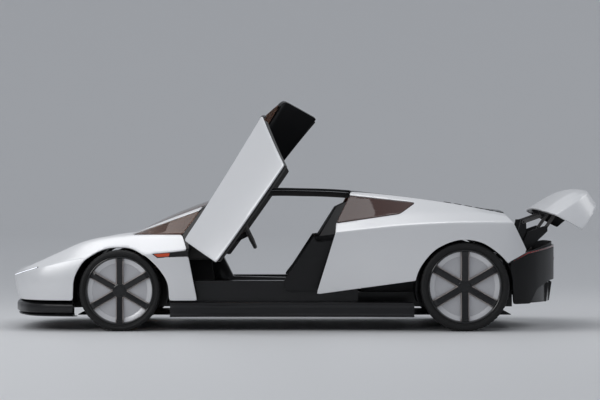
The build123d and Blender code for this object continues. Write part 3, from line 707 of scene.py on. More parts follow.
@dataclass
class BodySurface:
    """Outer surface of the closed car's left half, as a grid of points in mm.

    Attributes:
        tips: how far the nose and the tail reach past the first and last station.
        folds: for each fold of the section, how many rows on either side of it are evened
            out, and by how much.
        passes: how often that is done.
        nose_z: height of the nose tip.
        chin: height below it over which the chin's lean grows.
    """

    tips: tuple = (2.0, 3.0)
    folds: tuple = ((2, 0.35), (0, 0.06), (3, 0.5), (4, 0.5))
    passes: int = 6
    nose_z: float = 444.0
    chin: float = 200.0

    def __post_init__(self) -> None:
        """Builds the grid, and the plain one without the lean of the nose."""
        t = np.array(STATIONS, float)
        ghost_nose, nose = t[0].copy(), t[0].copy()
        ghost_tail, tail = t[-1].copy(), t[-1].copy()
        wide = [COLUMNS.index(c) for c in COLUMNS if c.endswith("_y")]
        ghost_nose[wide] *= -1
        ghost_tail[wide] *= -1
        nose[wide] = 0
        tail[wide] = 0
        nose[0] -= self.tips[0]
        tail[0] += self.tips[1]
        t = np.vstack([ghost_nose, nose, t, tail, ghost_tail])
        run = np.hypot(np.diff(t[:, 0]), np.diff(t[:, 2]))
        knots = np.concatenate([[0], np.cumsum(run)])
        cells = int(round((knots[-2] - knots[1]) / STEP))
        u = np.linspace(knots[1], knots[-2], cells + 1)
        c = dict(zip(COLUMNS, hermite(knots, t, u).T))
        rows = self._section(c)
        x = np.broadcast_to(c["x"][:, None], rows.shape[:2])
        self.grid = np.concatenate([x[:, :, None], rows], axis=2)
        marks = np.cumsum(ROWS)
        weight = np.zeros(self.grid.shape[1])
        for k, (near, w) in enumerate(self.folds):
            weight[marks[k] - near:marks[k] + near + 1] = w
        self.grid[:, :, 1:] = softened(self.grid[:, :, 1:].copy(), self.passes, weight)
        self.plain = self.grid.copy()
        lean = np.clip(1 - (self.grid[:, :, 0] - self.grid[0, 0, 0]) / NOSE_RUN, 0, 1) ** 2
        drop = np.clip((self.nose_z - self.grid[:, :, 2]) / self.chin, 0, 1)
        self.grid[:, :, 0] += NOSE_LEAN * lean * drop
        self.grid[0, :, 1] = 0.0
        self.grid[-1, :, 1] = 0.0
        self.grid[:, -1, 1] = 0.0

    @staticmethod
    def _section(c: dict) -> np.ndarray:
        """Rows of the section, from the foot to the top.

        Args:
            c: the columns of the table, read along the car.

        Returns:
            Distance and height of each row, at every place along the car.
        """
        def line(a: np.ndarray, b: np.ndarray, n: int, near: bool = False) -> np.ndarray:
            """Even rows between two lines along the car.

            Args:
                a: first line.
                b: last line.
                n: number of rows after the first.
                near: whether the first row lies close to the crease, which keeps it crisp.

            Returns:
                The rows.
            """
            t = np.tile(np.linspace(0, 1, n + 1)[None, 1:, None], (len(a), 1, 1))
            if near:
                t[:, :, 0] = spread(CREASE_ROW / np.maximum(np.linalg.norm(b - a, axis=1), 1), n)
            return a[:, None, :] * (1 - t) + b[:, None, :] * t

        def spread(first: np.ndarray, n: int) -> np.ndarray:
            """Shares of the way, with a first one that is set.

            Args:
                first: the first share.
                n: number of shares.

            Returns:
                Shares up to 1, at every place along the car.
            """
            rest = np.linspace(0, 1, n)[None, 1:]
            first = np.clip(first, 0.02, 0.3)[:, None]
            return np.concatenate([first, first + (1 - first) * rest], axis=1)

        def pair(y: np.ndarray, z: np.ndarray) -> np.ndarray:
            """A line along the car, from its distance and its height."""
            return np.stack([np.broadcast_to(v, c["x"].shape) for v in (y, z)], 1)

        foot = pair(np.maximum(c["lo_y"] - FOOT_IN, 0), FOOT_Z)
        low = pair(c["lo_y"], LOW_Z)
        wide, crease = pair(c["wide_y"], c["wide_z"]), pair(c["crease_y"], c["crease_z"])
        belt, rail = pair(c["belt_y"], c["belt_z"]), pair(c["rail_y"], c["rail_z"])
        d1 = np.linalg.norm(wide - low, axis=1)
        m = (d1 / (d1 + np.linalg.norm(crease - wide, axis=1)))[:, None, None]
        last = spread(CREASE_ROW / np.maximum(np.linalg.norm(crease - low, axis=1), 1), ROWS[1])
        t = np.concatenate([1 - last[:, -2::-1], np.ones((len(last), 1))], axis=1)[:, :, None]
        flank = (low[:, None] * (t - m) * (t - 1) / m + wide[:, None] * t * (t - 1) / (m * (m - 1))
                 + crease[:, None] * t * (t - m) / (1 - m))
        s = np.linspace(0, 1, ROWS[4] + 1)[1:]
        top_y = c["rail_y"][:, None] * (1 - s)[None]
        top_z = c["top_z"][:, None] - (c["top_z"] - c["rail_z"])[:, None] * ((1 - s) ** 2)[None]
        parts = [foot[:, None], line(foot, low, ROWS[0]), flank, line(crease, belt, ROWS[2], True),
                 line(belt, rail, ROWS[3]), np.stack([top_y, top_z], 2)]
        rows = np.concatenate(parts, axis=1)
        rows[:, :, 0] *= -1  # the left side is at negative Y
        return rows


# ---- panel regions
class View(Enum):
    """Plane that an outline is drawn in, as the coordinates that it uses."""

    SIDE = (0, 2)
    PLAN = (0, 1)


def rounded(points: Outline, radius: float) -> list:
    """The outline with each corner replaced by a short curve.

    Args:
        points: corners, mm.
        radius: how far from the corner the curve starts, mm.

    Returns:
        The outline.
    """
    p = np.array(points, float)
    out = []
    for i, q in enumerate(p):
        before, after = p[i - 1] - q, p[(i + 1) % len(p)] - q
        a, b = np.linalg.norm(before), np.linalg.norm(after)
        r = min(radius, 0.45 * a, 0.45 * b)
        s, e = q + before / a * r, q + after / b * r
        for t in (0, 0.25, 0.5, 0.75, 1):
            out.append((1 - t) ** 2 * s + 2 * t * (1 - t) * q + t * t * e)
    return [tuple(v) for v in out]


def catmull(a: np.ndarray, b: np.ndarray, c: np.ndarray, d: np.ndarray, t: float) -> np.ndarray:
    """Point between b and c of the smooth curve through four points."""
    return 0.5 * (2 * b + (c - a) * t + (2 * a - 5 * b + 4 * c - d) * t * t
                  + (3 * b - a - 3 * c + d) * t**3)


def curved(points: Outline, steps: int) -> list:
    """Closed smooth curve through the points.

    Args:
        points: points of the curve, mm.
        steps: points to a stretch of the curve.

    Returns:
        The outline.
    """
    p = np.array(points, float)
    out = []
    for i in range(len(p)):
        a, b, c, d = p[i - 1], p[i], p[(i + 1) % len(p)], p[(i + 2) % len(p)]
        for t in np.linspace(0, 1, steps, endpoint=False):
            out.append(catmull(a, b, c, d, t))
    return [tuple(v) for v in out]


def arched(points: Outline, steps: int = 6) -> list:
    """Outline of a wheel opening: a smooth curve between two straight legs.

    Args:
        points: foot, points of the curve and other foot, mm.
        steps: points to a stretch of the curve.

    Returns:
        The outline.
    """
    p = [np.array(q, float) for q in points]
    first = p[1] + (p[0] - p[1]) * np.linalg.norm(p[2] - p[1]) / np.linalg.norm(p[0] - p[1])
    last = p[-2] + (p[-1] - p[-2]) * np.linalg.norm(p[-3] - p[-2]) / np.linalg.norm(p[-1] - p[-2])
    q = [first] + p[1:-1] + [last]
    out = [p[0]]
    for a, b, c, d in zip(q, q[1:], q[2:], q[3:]):
        for t in np.linspace(0, 1, steps, endpoint=False):
            out.append(catmull(a, b, c, d, t))
    return [tuple(v) for v in out + [p[-2], p[-1]]]


def inside(view: View, outline: Outline) -> Field:
    """Distance field of an outline in one view, positive inside.

    Args:
        view: plane of the outline.
        outline: its corners, in mm.

    Returns:
        A function from points to distances in mm.
    """
    corners = np.array(outline, float)

    def field(points: np.ndarray) -> np.ndarray:
        """Distance to the outline.

        Args:
            points: points in mm.

        Returns:
            Distances in mm, positive inside.
        """
        q = points[..., list(view.value)]
        best = np.full(q.shape[:-1], np.inf)
        odd = np.zeros(q.shape[:-1], bool)
        for a, b in zip(corners, np.roll(corners, -1, axis=0)):
            d = b - a
            t = np.clip(((q - a) @ d) / max(d @ d, 1e-9), 0, 1)
            gap = q - a - t[..., None] * d
            best = np.minimum(best, (gap**2).sum(-1))
            cross = (a[1] > q[..., 1]) != (b[1] > q[..., 1])
            with np.errstate(divide="ignore", invalid="ignore"):
                at = a[0] + (q[..., 1] - a[1]) / (b[1] - a[1]) * d[0]
            odd ^= cross & (q[..., 0] < at)
        return np.where(odd, 1, -1) * np.sqrt(best)

    return field


def both(*fields: Field) -> Field:
    """Region inside every field."""
    return lambda p: np.minimum.reduce([f(p) for f in fields])


def less(field: Field, *holes: Field) -> Field:
    """Region of a field without the holes."""
    return lambda p: np.minimum.reduce([field(p)] + [-h(p) for h in holes])


def beyond(axis: int, limit: float, sign: float = 1.0) -> Field:
    """Region where a coordinate is past a limit."""
    return lambda p: sign * (p[..., axis] - limit)


@dataclass
class Sheet:
    """Part of the surface.

    Attributes:
        points: its points, mm.
        normals: outward direction at each point.
        faces: tuples of point numbers.
    """

    points: np.ndarray
    normals: np.ndarray
    faces: list


@dataclass
class Skin:
    """Cuts hemmed panels out of the body surface.

    Attributes:
        surface: the whole outer surface.
        gap: half a shut gap, mm.
        reach: how far outside a region its cells are still looked at, mm.
        middle: rims nearer than this to the centre plane get no edge, mm.
        rounding: how far out and down the first two rings of an edge lie, in edge radii.
    """

    surface: BodySurface
    gap: float = 1.6
    reach: float = 40.0
    middle: float = 0.01
    rounding: tuple = ((0.7, 0.3), (1.0, 1.0))

    def cut(self, field: Field, across: bool, fine: int = 1) -> Sheet:
        """Sheet of surface where the field is positive.

        Args:
            field: distance field in mm.
            across: whether the panel runs over the centre line, so its right half is added.
            fine: how many times finer than the surface's own cells the sheet is.

        Returns:
            The sheet, in mm.
        """
        grid = self.surface.grid.copy()
        f = field(grid)
        near = f > -self.reach
        rows, cols = np.where(near.any(1))[0], np.where(near.any(0))[0]
        i0, i1 = max(rows[0] - 1, 0), min(rows[-1] + 2, grid.shape[0])
        j0, j1 = max(cols[0] - 1, 0), min(cols[-1] + 2, grid.shape[1])
        grid, f = grid[i0:i1, j0:j1].copy(), f[i0:i1, j0:j1].copy()
        if fine > 1:
            grid = finer(finer(grid, fine).transpose(1, 0, 2), fine).transpose(1, 0, 2).copy()
            f = field(grid)
        self._snap(grid, f, 0)
        self._snap(grid, f, 1)
        points, faces = self._march(grid, f)
        points, faces = self._weld(points, faces)
        if across:
            flipped = points * np.array([1.0, -1.0, 1.0])
            n = len(points)
            faces = faces + [tuple(n + i for i in reversed(q)) for q in faces]
            points, faces = self._weld(np.vstack([points, flipped]), faces)
        normals = self._normals(points, faces)
        ends = self.surface.grid[[0, -1], -1, 0]
        for end, sign in zip(ends, (-1.0, 1.0)):  # the faces at the very tips are too small
            normals[sign * (points[:, 0] - end) > -TIP] = (sign, 0.0, 0.0)
        return Sheet(points, normals, faces)

    @staticmethod
    def _snap(grid: np.ndarray, f: np.ndarray, axis: int) -> None:
        """Moves grid points that lie close to the border onto it.

        Args:
            grid: the points, changed in place.
            f: their distances, changed in place.
            axis: direction in which neighbours are looked at.
        """
        a, b = ((f[:-1], f[1:]) if axis == 0 else (f[:, :-1], f[:, 1:]))
        for i, j in np.argwhere(a * b < 0):
            k, m = (i + 1, j) if axis == 0 else (i, j + 1)
            if f[i, j] * f[k, m] >= 0:
                continue
            t = f[i, j] / (f[i, j] - f[k, m])
            if t < SNAP:
                grid[i, j] += t * (grid[k, m] - grid[i, j])
                f[i, j] = 0.0
            elif t > 1 - SNAP:
                grid[k, m] += (1 - t) * (grid[i, j] - grid[k, m])
                f[k, m] = 0.0

    @staticmethod
    def _march(grid: np.ndarray, f: np.ndarray) -> tuple[np.ndarray, list]:
        """Cuts the grid along the border.

        Args:
            grid: the points.
            f: their distances.

        Returns:
            Points and faces of what is inside.
        """
        n, m = f.shape
        points = list(grid.reshape(-1, 3))
        made: dict = {}
        faces = []
        positive = f > 0
        some = positive[:-1, :-1] | positive[1:, :-1] | positive[:-1, 1:] | positive[1:, 1:]
        for i, j in np.argwhere(some):
            corners = ((i, j), (i + 1, j), (i + 1, j + 1), (i, j + 1))
            face = []
            for k in range(4):
                p, q = corners[k], corners[(k + 1) % 4]
                if f[p] >= 0:
                    face.append(p[0] * m + p[1])
                if f[p] * f[q] < 0:
                    key = (min(p, q), max(p, q))
                    if key not in made:
                        t = f[p] / (f[p] - f[q])
                        made[key] = len(points)
                        points.append(grid[p] * (1 - t) + grid[q] * t)
                    face.append(made[key])
            if len(face) > 2:
                faces.append(tuple(face))
        return np.array(points), faces

    @staticmethod
    def _weld(points: np.ndarray, faces: list) -> tuple[np.ndarray, list]:
        """Merges equal points and drops unused ones and flat faces.

        Args:
            points: the points, mm.
            faces: the faces.

        Returns:
            Points and faces that are left.
        """
        keys = np.round(points / WELD).astype(np.int64)
        unique, inverse = np.unique(keys, axis=0, return_inverse=True)
        inverse = inverse.reshape(-1)
        kept = np.zeros((len(unique), 3))
        kept[inverse] = points
        out = []
        for face in faces:
            ring = []
            for i in face:
                v = int(inverse[i])
                if not ring or ring[-1] != v:
                    ring.append(v)
            if len(ring) > 1 and ring[0] == ring[-1]:
                ring.pop()
            if len(set(ring)) == len(ring) and len(ring) > 2:
                out.append(tuple(ring))
        used = np.unique([i for q in out for i in q])
        remap = np.full(len(kept), -1)
        remap[used] = np.arange(len(used))
        return kept[used], [tuple(int(remap[i]) for i in q) for q in out]

    @staticmethod
    def _normals(points: np.ndarray, faces: list) -> np.ndarray:
        """Outward direction at each point.

        Args:
            points: the points.
            faces: the faces.

        Returns:
            Unit directions.
        """
        normals = np.zeros_like(points)
        for face in faces:
            p = points[list(face)]
            n = np.cross(p[2] - p[0], p[-1] - p[1] if len(p) > 3 else p[2] - p[1])
            normals[list(face)] += n
        return normals / np.maximum(np.linalg.norm(normals, axis=1), 1e-9)[:, None]

    def panel(self, field: Field, across: bool, thick: float, hem: float,
              lift: float = 0.0, fine: int = 1, edge: float = 1.4) -> Shape:
        """Hemmed panel of the surface.

        Args:
            field: region of the panel.
            across: whether it runs over the centre line.
            thick: depth of the inner face below the outer, mm.
            hem: depth of the edge's flange, mm.
            lift: how far the whole panel stands above the surface, mm.
            fine: how many times finer than the surface's cells it is.
            edge: radius of its edges, mm.

        Returns:
            The panel, faces of the outside first; material 0 outside, 1 inside.
        """
        sheet = self.cut(lambda p: field(p) - edge - min(self.gap, edge), across, fine)
        points, normals, faces = sheet.points + lift * sheet.normals, sheet.normals, sheet.faces
        edges = dict.fromkeys((a, b) for face in faces for a, b in zip(face, face[1:] + face[:1]))
        rim = [(a, b) for a, b in edges if (b, a) not in edges]
        if not across:
            rim = [(a, b) for a, b in rim
                   if max(abs(points[a, 1]), abs(points[b, 1])) >= self.middle]
        ends = sorted({v for e in rim for v in e})
        out = {v: np.zeros(3) for v in ends}
        for a, b in rim:
            way = np.cross(points[b] - points[a], normals[a] + normals[b])
            way /= max(np.linalg.norm(way), 1e-9)
            out[a] += way
            out[b] += way
        n = len(points)
        rings = []
        for reach, depth in (*self.rounding, (1.0, max(hem / edge, 1.2))):
            ring = np.array([points[v] + edge * (
                reach * out[v] / max(np.linalg.norm(out[v]), 1e-9) - depth * normals[v])
                for v in ends])
            rings.append(ring)
        at = {v: k for k, v in enumerate(ends)}
        m = len(ends)
        all_points = [points] + rings
        all_faces = list(faces)

        def ring_index(level: int, v: int) -> int:
            """Number of a rim point in one of the edge's rings."""
            return v if level < 0 else n + level * m + at[v]

        for level in range(3):
            for a, b in rim:
                all_faces.append((ring_index(level - 1, b), ring_index(level - 1, a),
                                  ring_index(level, a), ring_index(level, b)))
        index = [0] * len(all_faces)
        base = n + 3 * m
        all_points.append(points - thick * normals)
        for face in faces:
            all_faces.append(tuple(base + i for i in reversed(face)))
        for a, b in rim:
            all_faces.append((ring_index(2, b), ring_index(2, a), base + a, base + b))
        index += [1] * (len(all_faces) - len(index))
        return placed(Shape(np.vstack(all_points) * MM, all_faces, index))


# outlines of the panels, drawn on the closed car, mm
FRONT_ARCH = [(-1830, 60), (-1818, 380), (-1795, 465), (-1733, 562), (-1640, 629), (-1548, 664),
              (-1455, 671), (-1362, 664), (-1262, 616), (-1190, 560), (-1120, 482), (-1066, 385),
              (-1054, 250), (-1054, 60)]
REAR_ARCH = [(926, 60), (926, 390), (960, 500), (1040, 612), (1120, 676), (1230, 722),
             (1330, 735), (1441, 716), (1521, 676), (1600, 618), (1655, 560), (1684, 500),
             (1705, 420), (1710, 340), (1730, 60)]
QUARTER_SIDE = [(130, 293), (283, 789), (289, 868), (419, 1132), (419, 1240), (1672, 1240),
                (1672, 938), (1720, 872), (1838, 636), (1690, 560), (1500, 405), (928, 405)]
REAR_GLASS_SIDE = [(402, 1092), (940, 1034), (806, 944), (290, 868)]
FRONT_GLASS_SIDE = [(-1352, 777), (-818, 967), (-953, 776)]
LID_PLATE = [(1684, 868), (1690, 940), (1800, 934), (1900, 916), (1858, 834), (1826, 830),
             (1760, 890), (1718, 862), (1690, 860)]
LID_SIDE = [(1680, 1100), (1680, 940), (1727, 874), (1845, 642), (2112, 694), (2400, 694),
            (2400, 1100)]
CLAM_SIDE = [(-2500, 246), (-826, 243), (-902, 640), (-953, 776), (-1352, 777), (-818, 967),
             (-790, 1013), (-790, 1300), (-2500, 1300)]
FRAME_SIDE = [(-906, 646), (-953, 776), (-818, 967), (-790, 1013), (-790, 1300), (419, 1300),
              (419, 1132), (289, 868), (283, 789), (240, 700), (-890, 646)]
WINDSCREEN_PLAN = [(-1395, 640), (-1490, 450), (-1545, 200), (-1545, -200), (-1490, -450),
                   (-1395, -640), (-1200, -642), (-1000, -606), (-840, -562), (-720, -490),
                   (-610, -380), (-530, -270), (-470, -150), (-450, 0), (-470, 150),
                   (-530, 270), (-610, 380), (-720, 490), (-840, 562), (-1000, 606),
                   (-1200, 642)]
HEADLAMP_SIDE = [(-2346, 434), (-2300, 449), (-2220, 474), (-2112, 507), (-2112, 518),
                 (-2220, 486), (-2300, 461), (-2346, 446)]
# headlamp bars just above the nose crease, whose glow is also a painted highlight of the crease
HIGHLIGHT_LAMP_LINE = [(-2342, 438), (-2300, 452), (-2220, 477), (-2122, 507), (-2122, 512),
             (-2220, 482), (-2300, 457), (-2342, 443)]
MARKER_SIDE = [(-1186, 622), (-1144, 590), (-1050, 596), (-880, 602), (-880, 690), (-894, 662),
               (-912, 648), (-1040, 634)]
LAMP_SIDE = [(-1176, 620), (-1141, 595), (-1052, 601), (-1044, 629)]
BUMPER_SIDE = [(1690, 214), (1690, 424), (1690, 548), (1838, 616), (2112, 668), (2400, 668),
               (2400, 402), (2050, 392), (1930, 330), (1870, 214)]
DIFFUSER_SIDE = [(1830, 214), (1900, 330), (2040, 404), (2400, 414), (2400, 214)]
PIPE_Y, PIPE_START, PIPE_END = 110.0, (1880.0, 600.0), (2126.0, 533.0)
PIPE_R, PIPE_HOLE_R = 46.0, 51.0
LIGHT_SIDE = [(1690, 548), (1838, 616), (2112, 668), (2400, 668), (2400, 686), (2112, 686),
              (1838, 636), (1690, 560)]
LIGHT_LINE = [(1700, 555), (1838, 621), (2112, 673), (2400, 673), (2400, 681), (2112, 681),
              (1838, 631), (1700, 562)]
# inner faces: behind the door, under the roof and along the lid's shut line
SHUT_SIDE = [(-70, 480), (290, 1060), (412, 1120), (289, 868), (283, 789), (134, 300),
             (-120, 300), (-130, 400)]
LINER_PLAN = [(-430, -125), (415, -125), (415, 10), (-430, 10)]
GUTTER_SIDE = [(1835, 590), (1858, 634), (2112, 712), (2400, 712), (2400, 640), (2112, 640)]
SPLITTER_END = -1826.0
# how far out from the lower body edge, and height
SPLITTER_BAR = [(-100, 241), (-72, 240), (-50, 232), (-32, 214), (-28, 204), (-28, 156),
                (-32, 147), (-42, 141), (-100, 138)]
SPLITTER_BLADE = [(-110, 138), (-60, 135), (-46, 130), (-42, 125), (-46, 119), (-70, 114),
                  (-200, 109), (-200, 116), (-110, 122)]
QUARTER_PLAN = [(60, -1200), (60, -545), (419, -552), (1072, -592), (1690, -628), (2100, -628),
                (2100, -1200)]
DECK_PLAN = [(419, -552), (1072, -592), (1675, -627), (1675, 10), (419, 10)]
DOOR_REGION_SIDE = [(-821, 242), (-891, 630), (-879, 652), (-866, 705), (-852, 772), (-762, 884),
                    (-665, 1011), (-640, 1300), (412, 1300), (412, 1130), (282, 868), (276, 789),
                    (123, 291)]
DOOR_REGION_PLAN = [(-1100, -1300), (-1100, -600), (-665, -596), (-650, -503), (-575, -411),
                    (-515, -357), (-465, -293), (-410, -235), (-385, -203), (-385, -145),
                    (412, -145), (412, -1300)]
DOOR_SPLIT = [(-905, 637), (-894, 643), (-820, 657), (-600, 684), (-400, 709), (-200, 734),
              (50, 765), (277, 790), (300, 792)]
DOOR_WINDOW_SIDE = [(-760, 715), (-735, 775), (-672, 848), (-560, 985), (-420, 1066), (330, 1090),
                    (372, 1060), (255, 860), (245, 815), (50, 792), (-200, 762), (-400, 736),
                    (-600, 710)]
ARMREST_SIDE = [(-640, 470), (-560, 520), (-240, 552), (-180, 548), (-180, 508), (-300, 480),
                (-560, 440)]
PULL_SIDE = [(-600, 590), (-420, 618), (-420, 632), (-600, 604)]
SPEAKER_SIDE = [(-690 + 66 * math.cos(math.pi * k / 18), 370 + 66 * math.sin(math.pi * k / 18))
                for k in range(36)]
DOOR_POINT = Vector((-614.0, -480.0, 958.0))
DOOR_AXIS = Vector((0.5694, 0.6897, 0.4473)).normalized()
DOOR_SWING = -65.96
LID_TILT, LID_CENTRE = -35.0, (1790.0, 1425.0)
SPINDLE = [(-600, 8), (-520, 31), (-400, 62), (-280, 96), (-160, 131), (-80, 154), (-40, 157),
           (0, 148), (80, 128), (160, 101), (240, 73), (320, 43), (400, 12)]


def turn_about(point: Sequence[float], axis: Vector, degrees: float) -> Matrix:
    """Rotation about a line in the row's frame.

    Args:
        point: a point of the line, table mm.
        axis: its direction.
        degrees: angle.

    Returns:
        The matrix.
    """
    p = Vector(((point[0] + SHIFT) * MM, point[1] * MM, point[2] * MM))
    return (Matrix.Translation(p) @ Matrix.Rotation(math.radians(degrees), 4, axis)
            @ Matrix.Translation(-p))


DOOR_UP = turn_about(DOOR_POINT, DOOR_AXIS, DOOR_SWING)
LID_UP = turn_about((LID_CENTRE[0], 0.0, LID_CENTRE[1]), Vector((0, 1, 0)), LID_TILT)


def spindle(points: np.ndarray) -> np.ndarray:
    """Distance outside the door's turned shut face.

    Args:
        points: points in mm.

    Returns:
        Distances in mm, positive outside.
    """
    d = points - np.array(DOOR_POINT)
    axis = np.array(DOOR_AXIS)
    along = d @ axis
    out = np.linalg.norm(d - along[..., None] * axis, axis=-1)
    table = np.array(SPINDLE, float)
    radius = np.interp(along, table[:, 0], table[:, 1], left=0.0, right=0.0)
    return out - radius


def pipe_hole(points: np.ndarray) -> np.ndarray:
    """Distance inside the bumper's hole for the left tail pipe.

    Args:
        points: points in mm.

    Returns:
        Distances in mm, positive in the hole.
    """
    start = np.array([PIPE_START[0], -PIPE_Y, PIPE_START[1]])
    way = np.array([PIPE_END[0] - PIPE_START[0], 0.0, PIPE_END[1] - PIPE_START[1]])
    d = points - start
    along = d @ way / (way @ way)
    return PIPE_HOLE_R - np.linalg.norm(d - along[..., None] * way, axis=-1)


@dataclass
class Body:
    """All skin panels of the car, fixed, hung and hinged; lengths in mm.

    Attributes:
        skin: what the panels are cut from.
        louvre_x: front edge of each deck louvre.
        louvre_run: length of a louvre.
        screen_z: the windscreen lies above this height.
        deck_z: the deck lies above this height.
        liner_z: the roof lining lies above this height.
        gutter_z: the gutter under the lid lies above this height.
        door_gap: gap between the door and the marker strip.
        shut_lift: where the faces behind the doors lie.
        shut_y: how far out they reach, in metres.
        shut_slope: how much further out for each metre to the rear.
        plate_y: distance of the lid's plates from the centre plane.
        plate_half: half their thickness.
    """

    skin: Skin
    louvre_x: tuple = tuple(1180.0 + 86.0 * k for k in range(6))
    louvre_run: float = 62.0
    screen_z: float = 650.0
    deck_z: float = 880.0
    liner_z: float = 1000.0
    gutter_z: float = 560.0
    door_gap: float = 6.0
    shut_lift: float = -78.0
    shut_y: float = 0.8663
    shut_slope: float = 0.0533
    plate_y: float = 250.0
    plate_half: float = 6.0

    def build(self) -> Pieces:
        """All panels.

        Returns:
            The pieces, one by one.
        """
        yield from self.fixed()
        yield from self.doors()
        yield from self.lid()

    def fixed(self) -> Pieces:
        """Panels that stay with the body.

        Returns:
            The pieces, one by one.
        """
        side, plan = View.SIDE, View.PLAN
        arch = inside(side, arched(FRONT_ARCH))
        screen = inside(plan, curved(WINDSCREEN_PLAN, 3))
        lamp, marker = inside(side, HEADLAMP_SIDE), inside(side, MARKER_SIDE)
        clam = inside(side, CLAM_SIDE)
        yield self.wide("clamshell", less(clam, screen, arch, marker), (WHITE, CARBON),
                        ["front_clamshell"], hem=8)
        yield self.wide("screen", both(screen, beyond(2, self.screen_z)), (GLASS, GLASS),
                        ["windscreen"], hem=6)
        yield self.wide("lamp_cover", lamp, (STRIP, STRIP), ["headlamps"], hem=5, across=False,
                        fine=5, edge=0.6, lift=0.8)
        door = self.door_region()
        yield self.wide("marker_strip", less(marker, lambda p: door(p) + self.door_gap),
                        (STRIP, STRIP), ["marker_lamps"], across=False, lift=-1.5, fine=3, edge=1.0)
        frame = less(inside(side, FRAME_SIDE), screen, door)
        yield self.wide("roof_frame_skin", frame, (BLACK, CARBON), ["roof_frame"], thick=20, hem=20)
        yield self.wide("front_quarter_window", inside(side, rounded(FRONT_GLASS_SIDE, 12)),
                        (GLASS, GLASS), ["front_quarter_glass"], across=False, hem=6)
        quarter = less(both(inside(side, QUARTER_SIDE), inside(plan, QUARTER_PLAN)),
                       inside(side, arched(REAR_ARCH)), inside(side, rounded(REAR_GLASS_SIDE, 18)))
        yield self.wide("rear_quarter", quarter, (WHITE, CARBON), ["rear_quarters"], across=False)
        yield self.wide("rear_quarter_window", inside(side, rounded(REAR_GLASS_SIDE, 18)),
                        (DARK_GLASS, DARK_GLASS), ["rear_quarter_glass"], across=False, hem=6)
        yield self.wide("deck", both(inside(plan, DECK_PLAN), beyond(2, self.deck_z)),
                        (BLACK, CARBON), ["rear_deck"])
        yield from self.splitter()
        yield from self.shut_faces()
        bumper = less(inside(side, rounded(BUMPER_SIDE, 18)), inside(side, arched(REAR_ARCH)),
                      pipe_hole)
        yield self.wide("bumper_skin", bumper, (TAIL, CARBON), ["rear_bumper"], thick=16, hem=16,
                        fine=2)
        yield self.wide("diffuser", inside(side, DIFFUSER_SIDE), (CARBON, CARBON), [], thick=10,
                        hem=10, lift=-40)
        strips = [self.skin.panel(
            both(inside(plan, [(x, -560), (x + self.louvre_run, -566), (x + self.louvre_run, 10),
                               (x, 10)]), beyond(2, self.deck_z)),
            True, 4, 8, 5.0) for x in self.louvre_x]
        yield Piece("deck_louvres", joined(strips), (BLACK, CARBON)).make()
        yield self.wide("headliner", both(inside(plan, LINER_PLAN), beyond(2, self.liner_z)),
                        (SUEDE, SUEDE), [], thick=44, hem=44, lift=-23)
        yield self.wide("tail_gutter", both(inside(side, GUTTER_SIDE), beyond(2, self.gutter_z)),
                        (PLASTIC, PLASTIC), [], thick=10, hem=10, lift=-18)
        yield self.wide("tail_strip", inside(side, LIGHT_SIDE), (STRIP, STRIP), ["tail_light"],
                        thick=14, hem=10, lift=-1.0, fine=3, edge=0.7)
        yield self.wide("tail_lamp", inside(side, LIGHT_LINE), (LAMP_RED, LAMP_RED), [],
                        thick=5, hem=4, lift=0.6, fine=4, edge=0.5)

    def shut_faces(self) -> Pieces:
        """Dark faces behind the doors, held off the fold under the crease.

        Returns:
            The piece.
        """
        shape = self.skin.panel(inside(View.SIDE, SHUT_SIDE), False, 10, 40, self.shut_lift)
        limit = -(self.shut_y + self.shut_slope * shape.points[:, 0])
        shape.points[:, 1] = np.maximum(shape.points[:, 1], limit)
        yield Piece("shut_faces", shape.paired(), (PLASTIC, CARBON)).make()

    def splitter(self) -> Pieces:
        """Front lip: a rounded bar round the nose with a blade below it.

        Returns:
            The pieces, one by one.
        """
        line = self.skin.surface.plain[:, ROWS[0], :2]
        line = line[line[:, 0] < SPLITTER_END]
        line = np.vstack([line[::-1], line[1:] * np.array([1.0, -1.0])])
        along = np.gradient(line, axis=0)
        out = np.stack([-along[:, 1], along[:, 0]], 1)
        out /= np.linalg.norm(out, axis=1)[:, None]
        for name, profile in (("splitter_bar", SPLITTER_BAR), ("splitter_blade", SPLITTER_BLADE)):
            rings = [np.array([(*(p + n * o), z) for o, z in profile]) for p, n in zip(line, out)]
            shape = placed(skin_rings(rings))
            nodes = ["splitter"] if name == "splitter_bar" else []
            yield Piece(name, shape, (CARBON,), replaces=nodes, smooth=50).make()

    def wide(self, name: str, field: Field, finishes: Sequence[Finish], nodes: Sequence[str],
             across: bool = True, thick: float = 5.0, hem: float = 14.0, lift: float = 0.0,
             fine: int = 1, edge: float = 2.4) -> bpy.types.Object:
        """Makes one panel on both sides of the car.

        Args:
            name: piece name.
            field: region on the left half.
            finishes: outside and inside.
            nodes: CAD nodes that it stands for.
            across: whether it runs over the centre line.
            thick: depth of the inner face, mm.
            hem: depth of the edge flange, mm.
            lift: height above the surface, mm.
            fine: how many times finer than the surface's cells it is.
            edge: radius of its edges, mm.

        Returns:
            The panel's object.
        """
        shape = self.skin.panel(field, across, thick, hem, lift, fine, edge)
        if not across:
            shape = shape.paired()
        return Piece(name, shape, finishes, replaces=nodes).make()

    @staticmethod
    def door_region() -> Field:
        """Region of the closed left door."""
        flat = both(inside(View.SIDE, DOOR_REGION_SIDE), inside(View.PLAN, DOOR_REGION_PLAN))
        return both(flat, spindle)

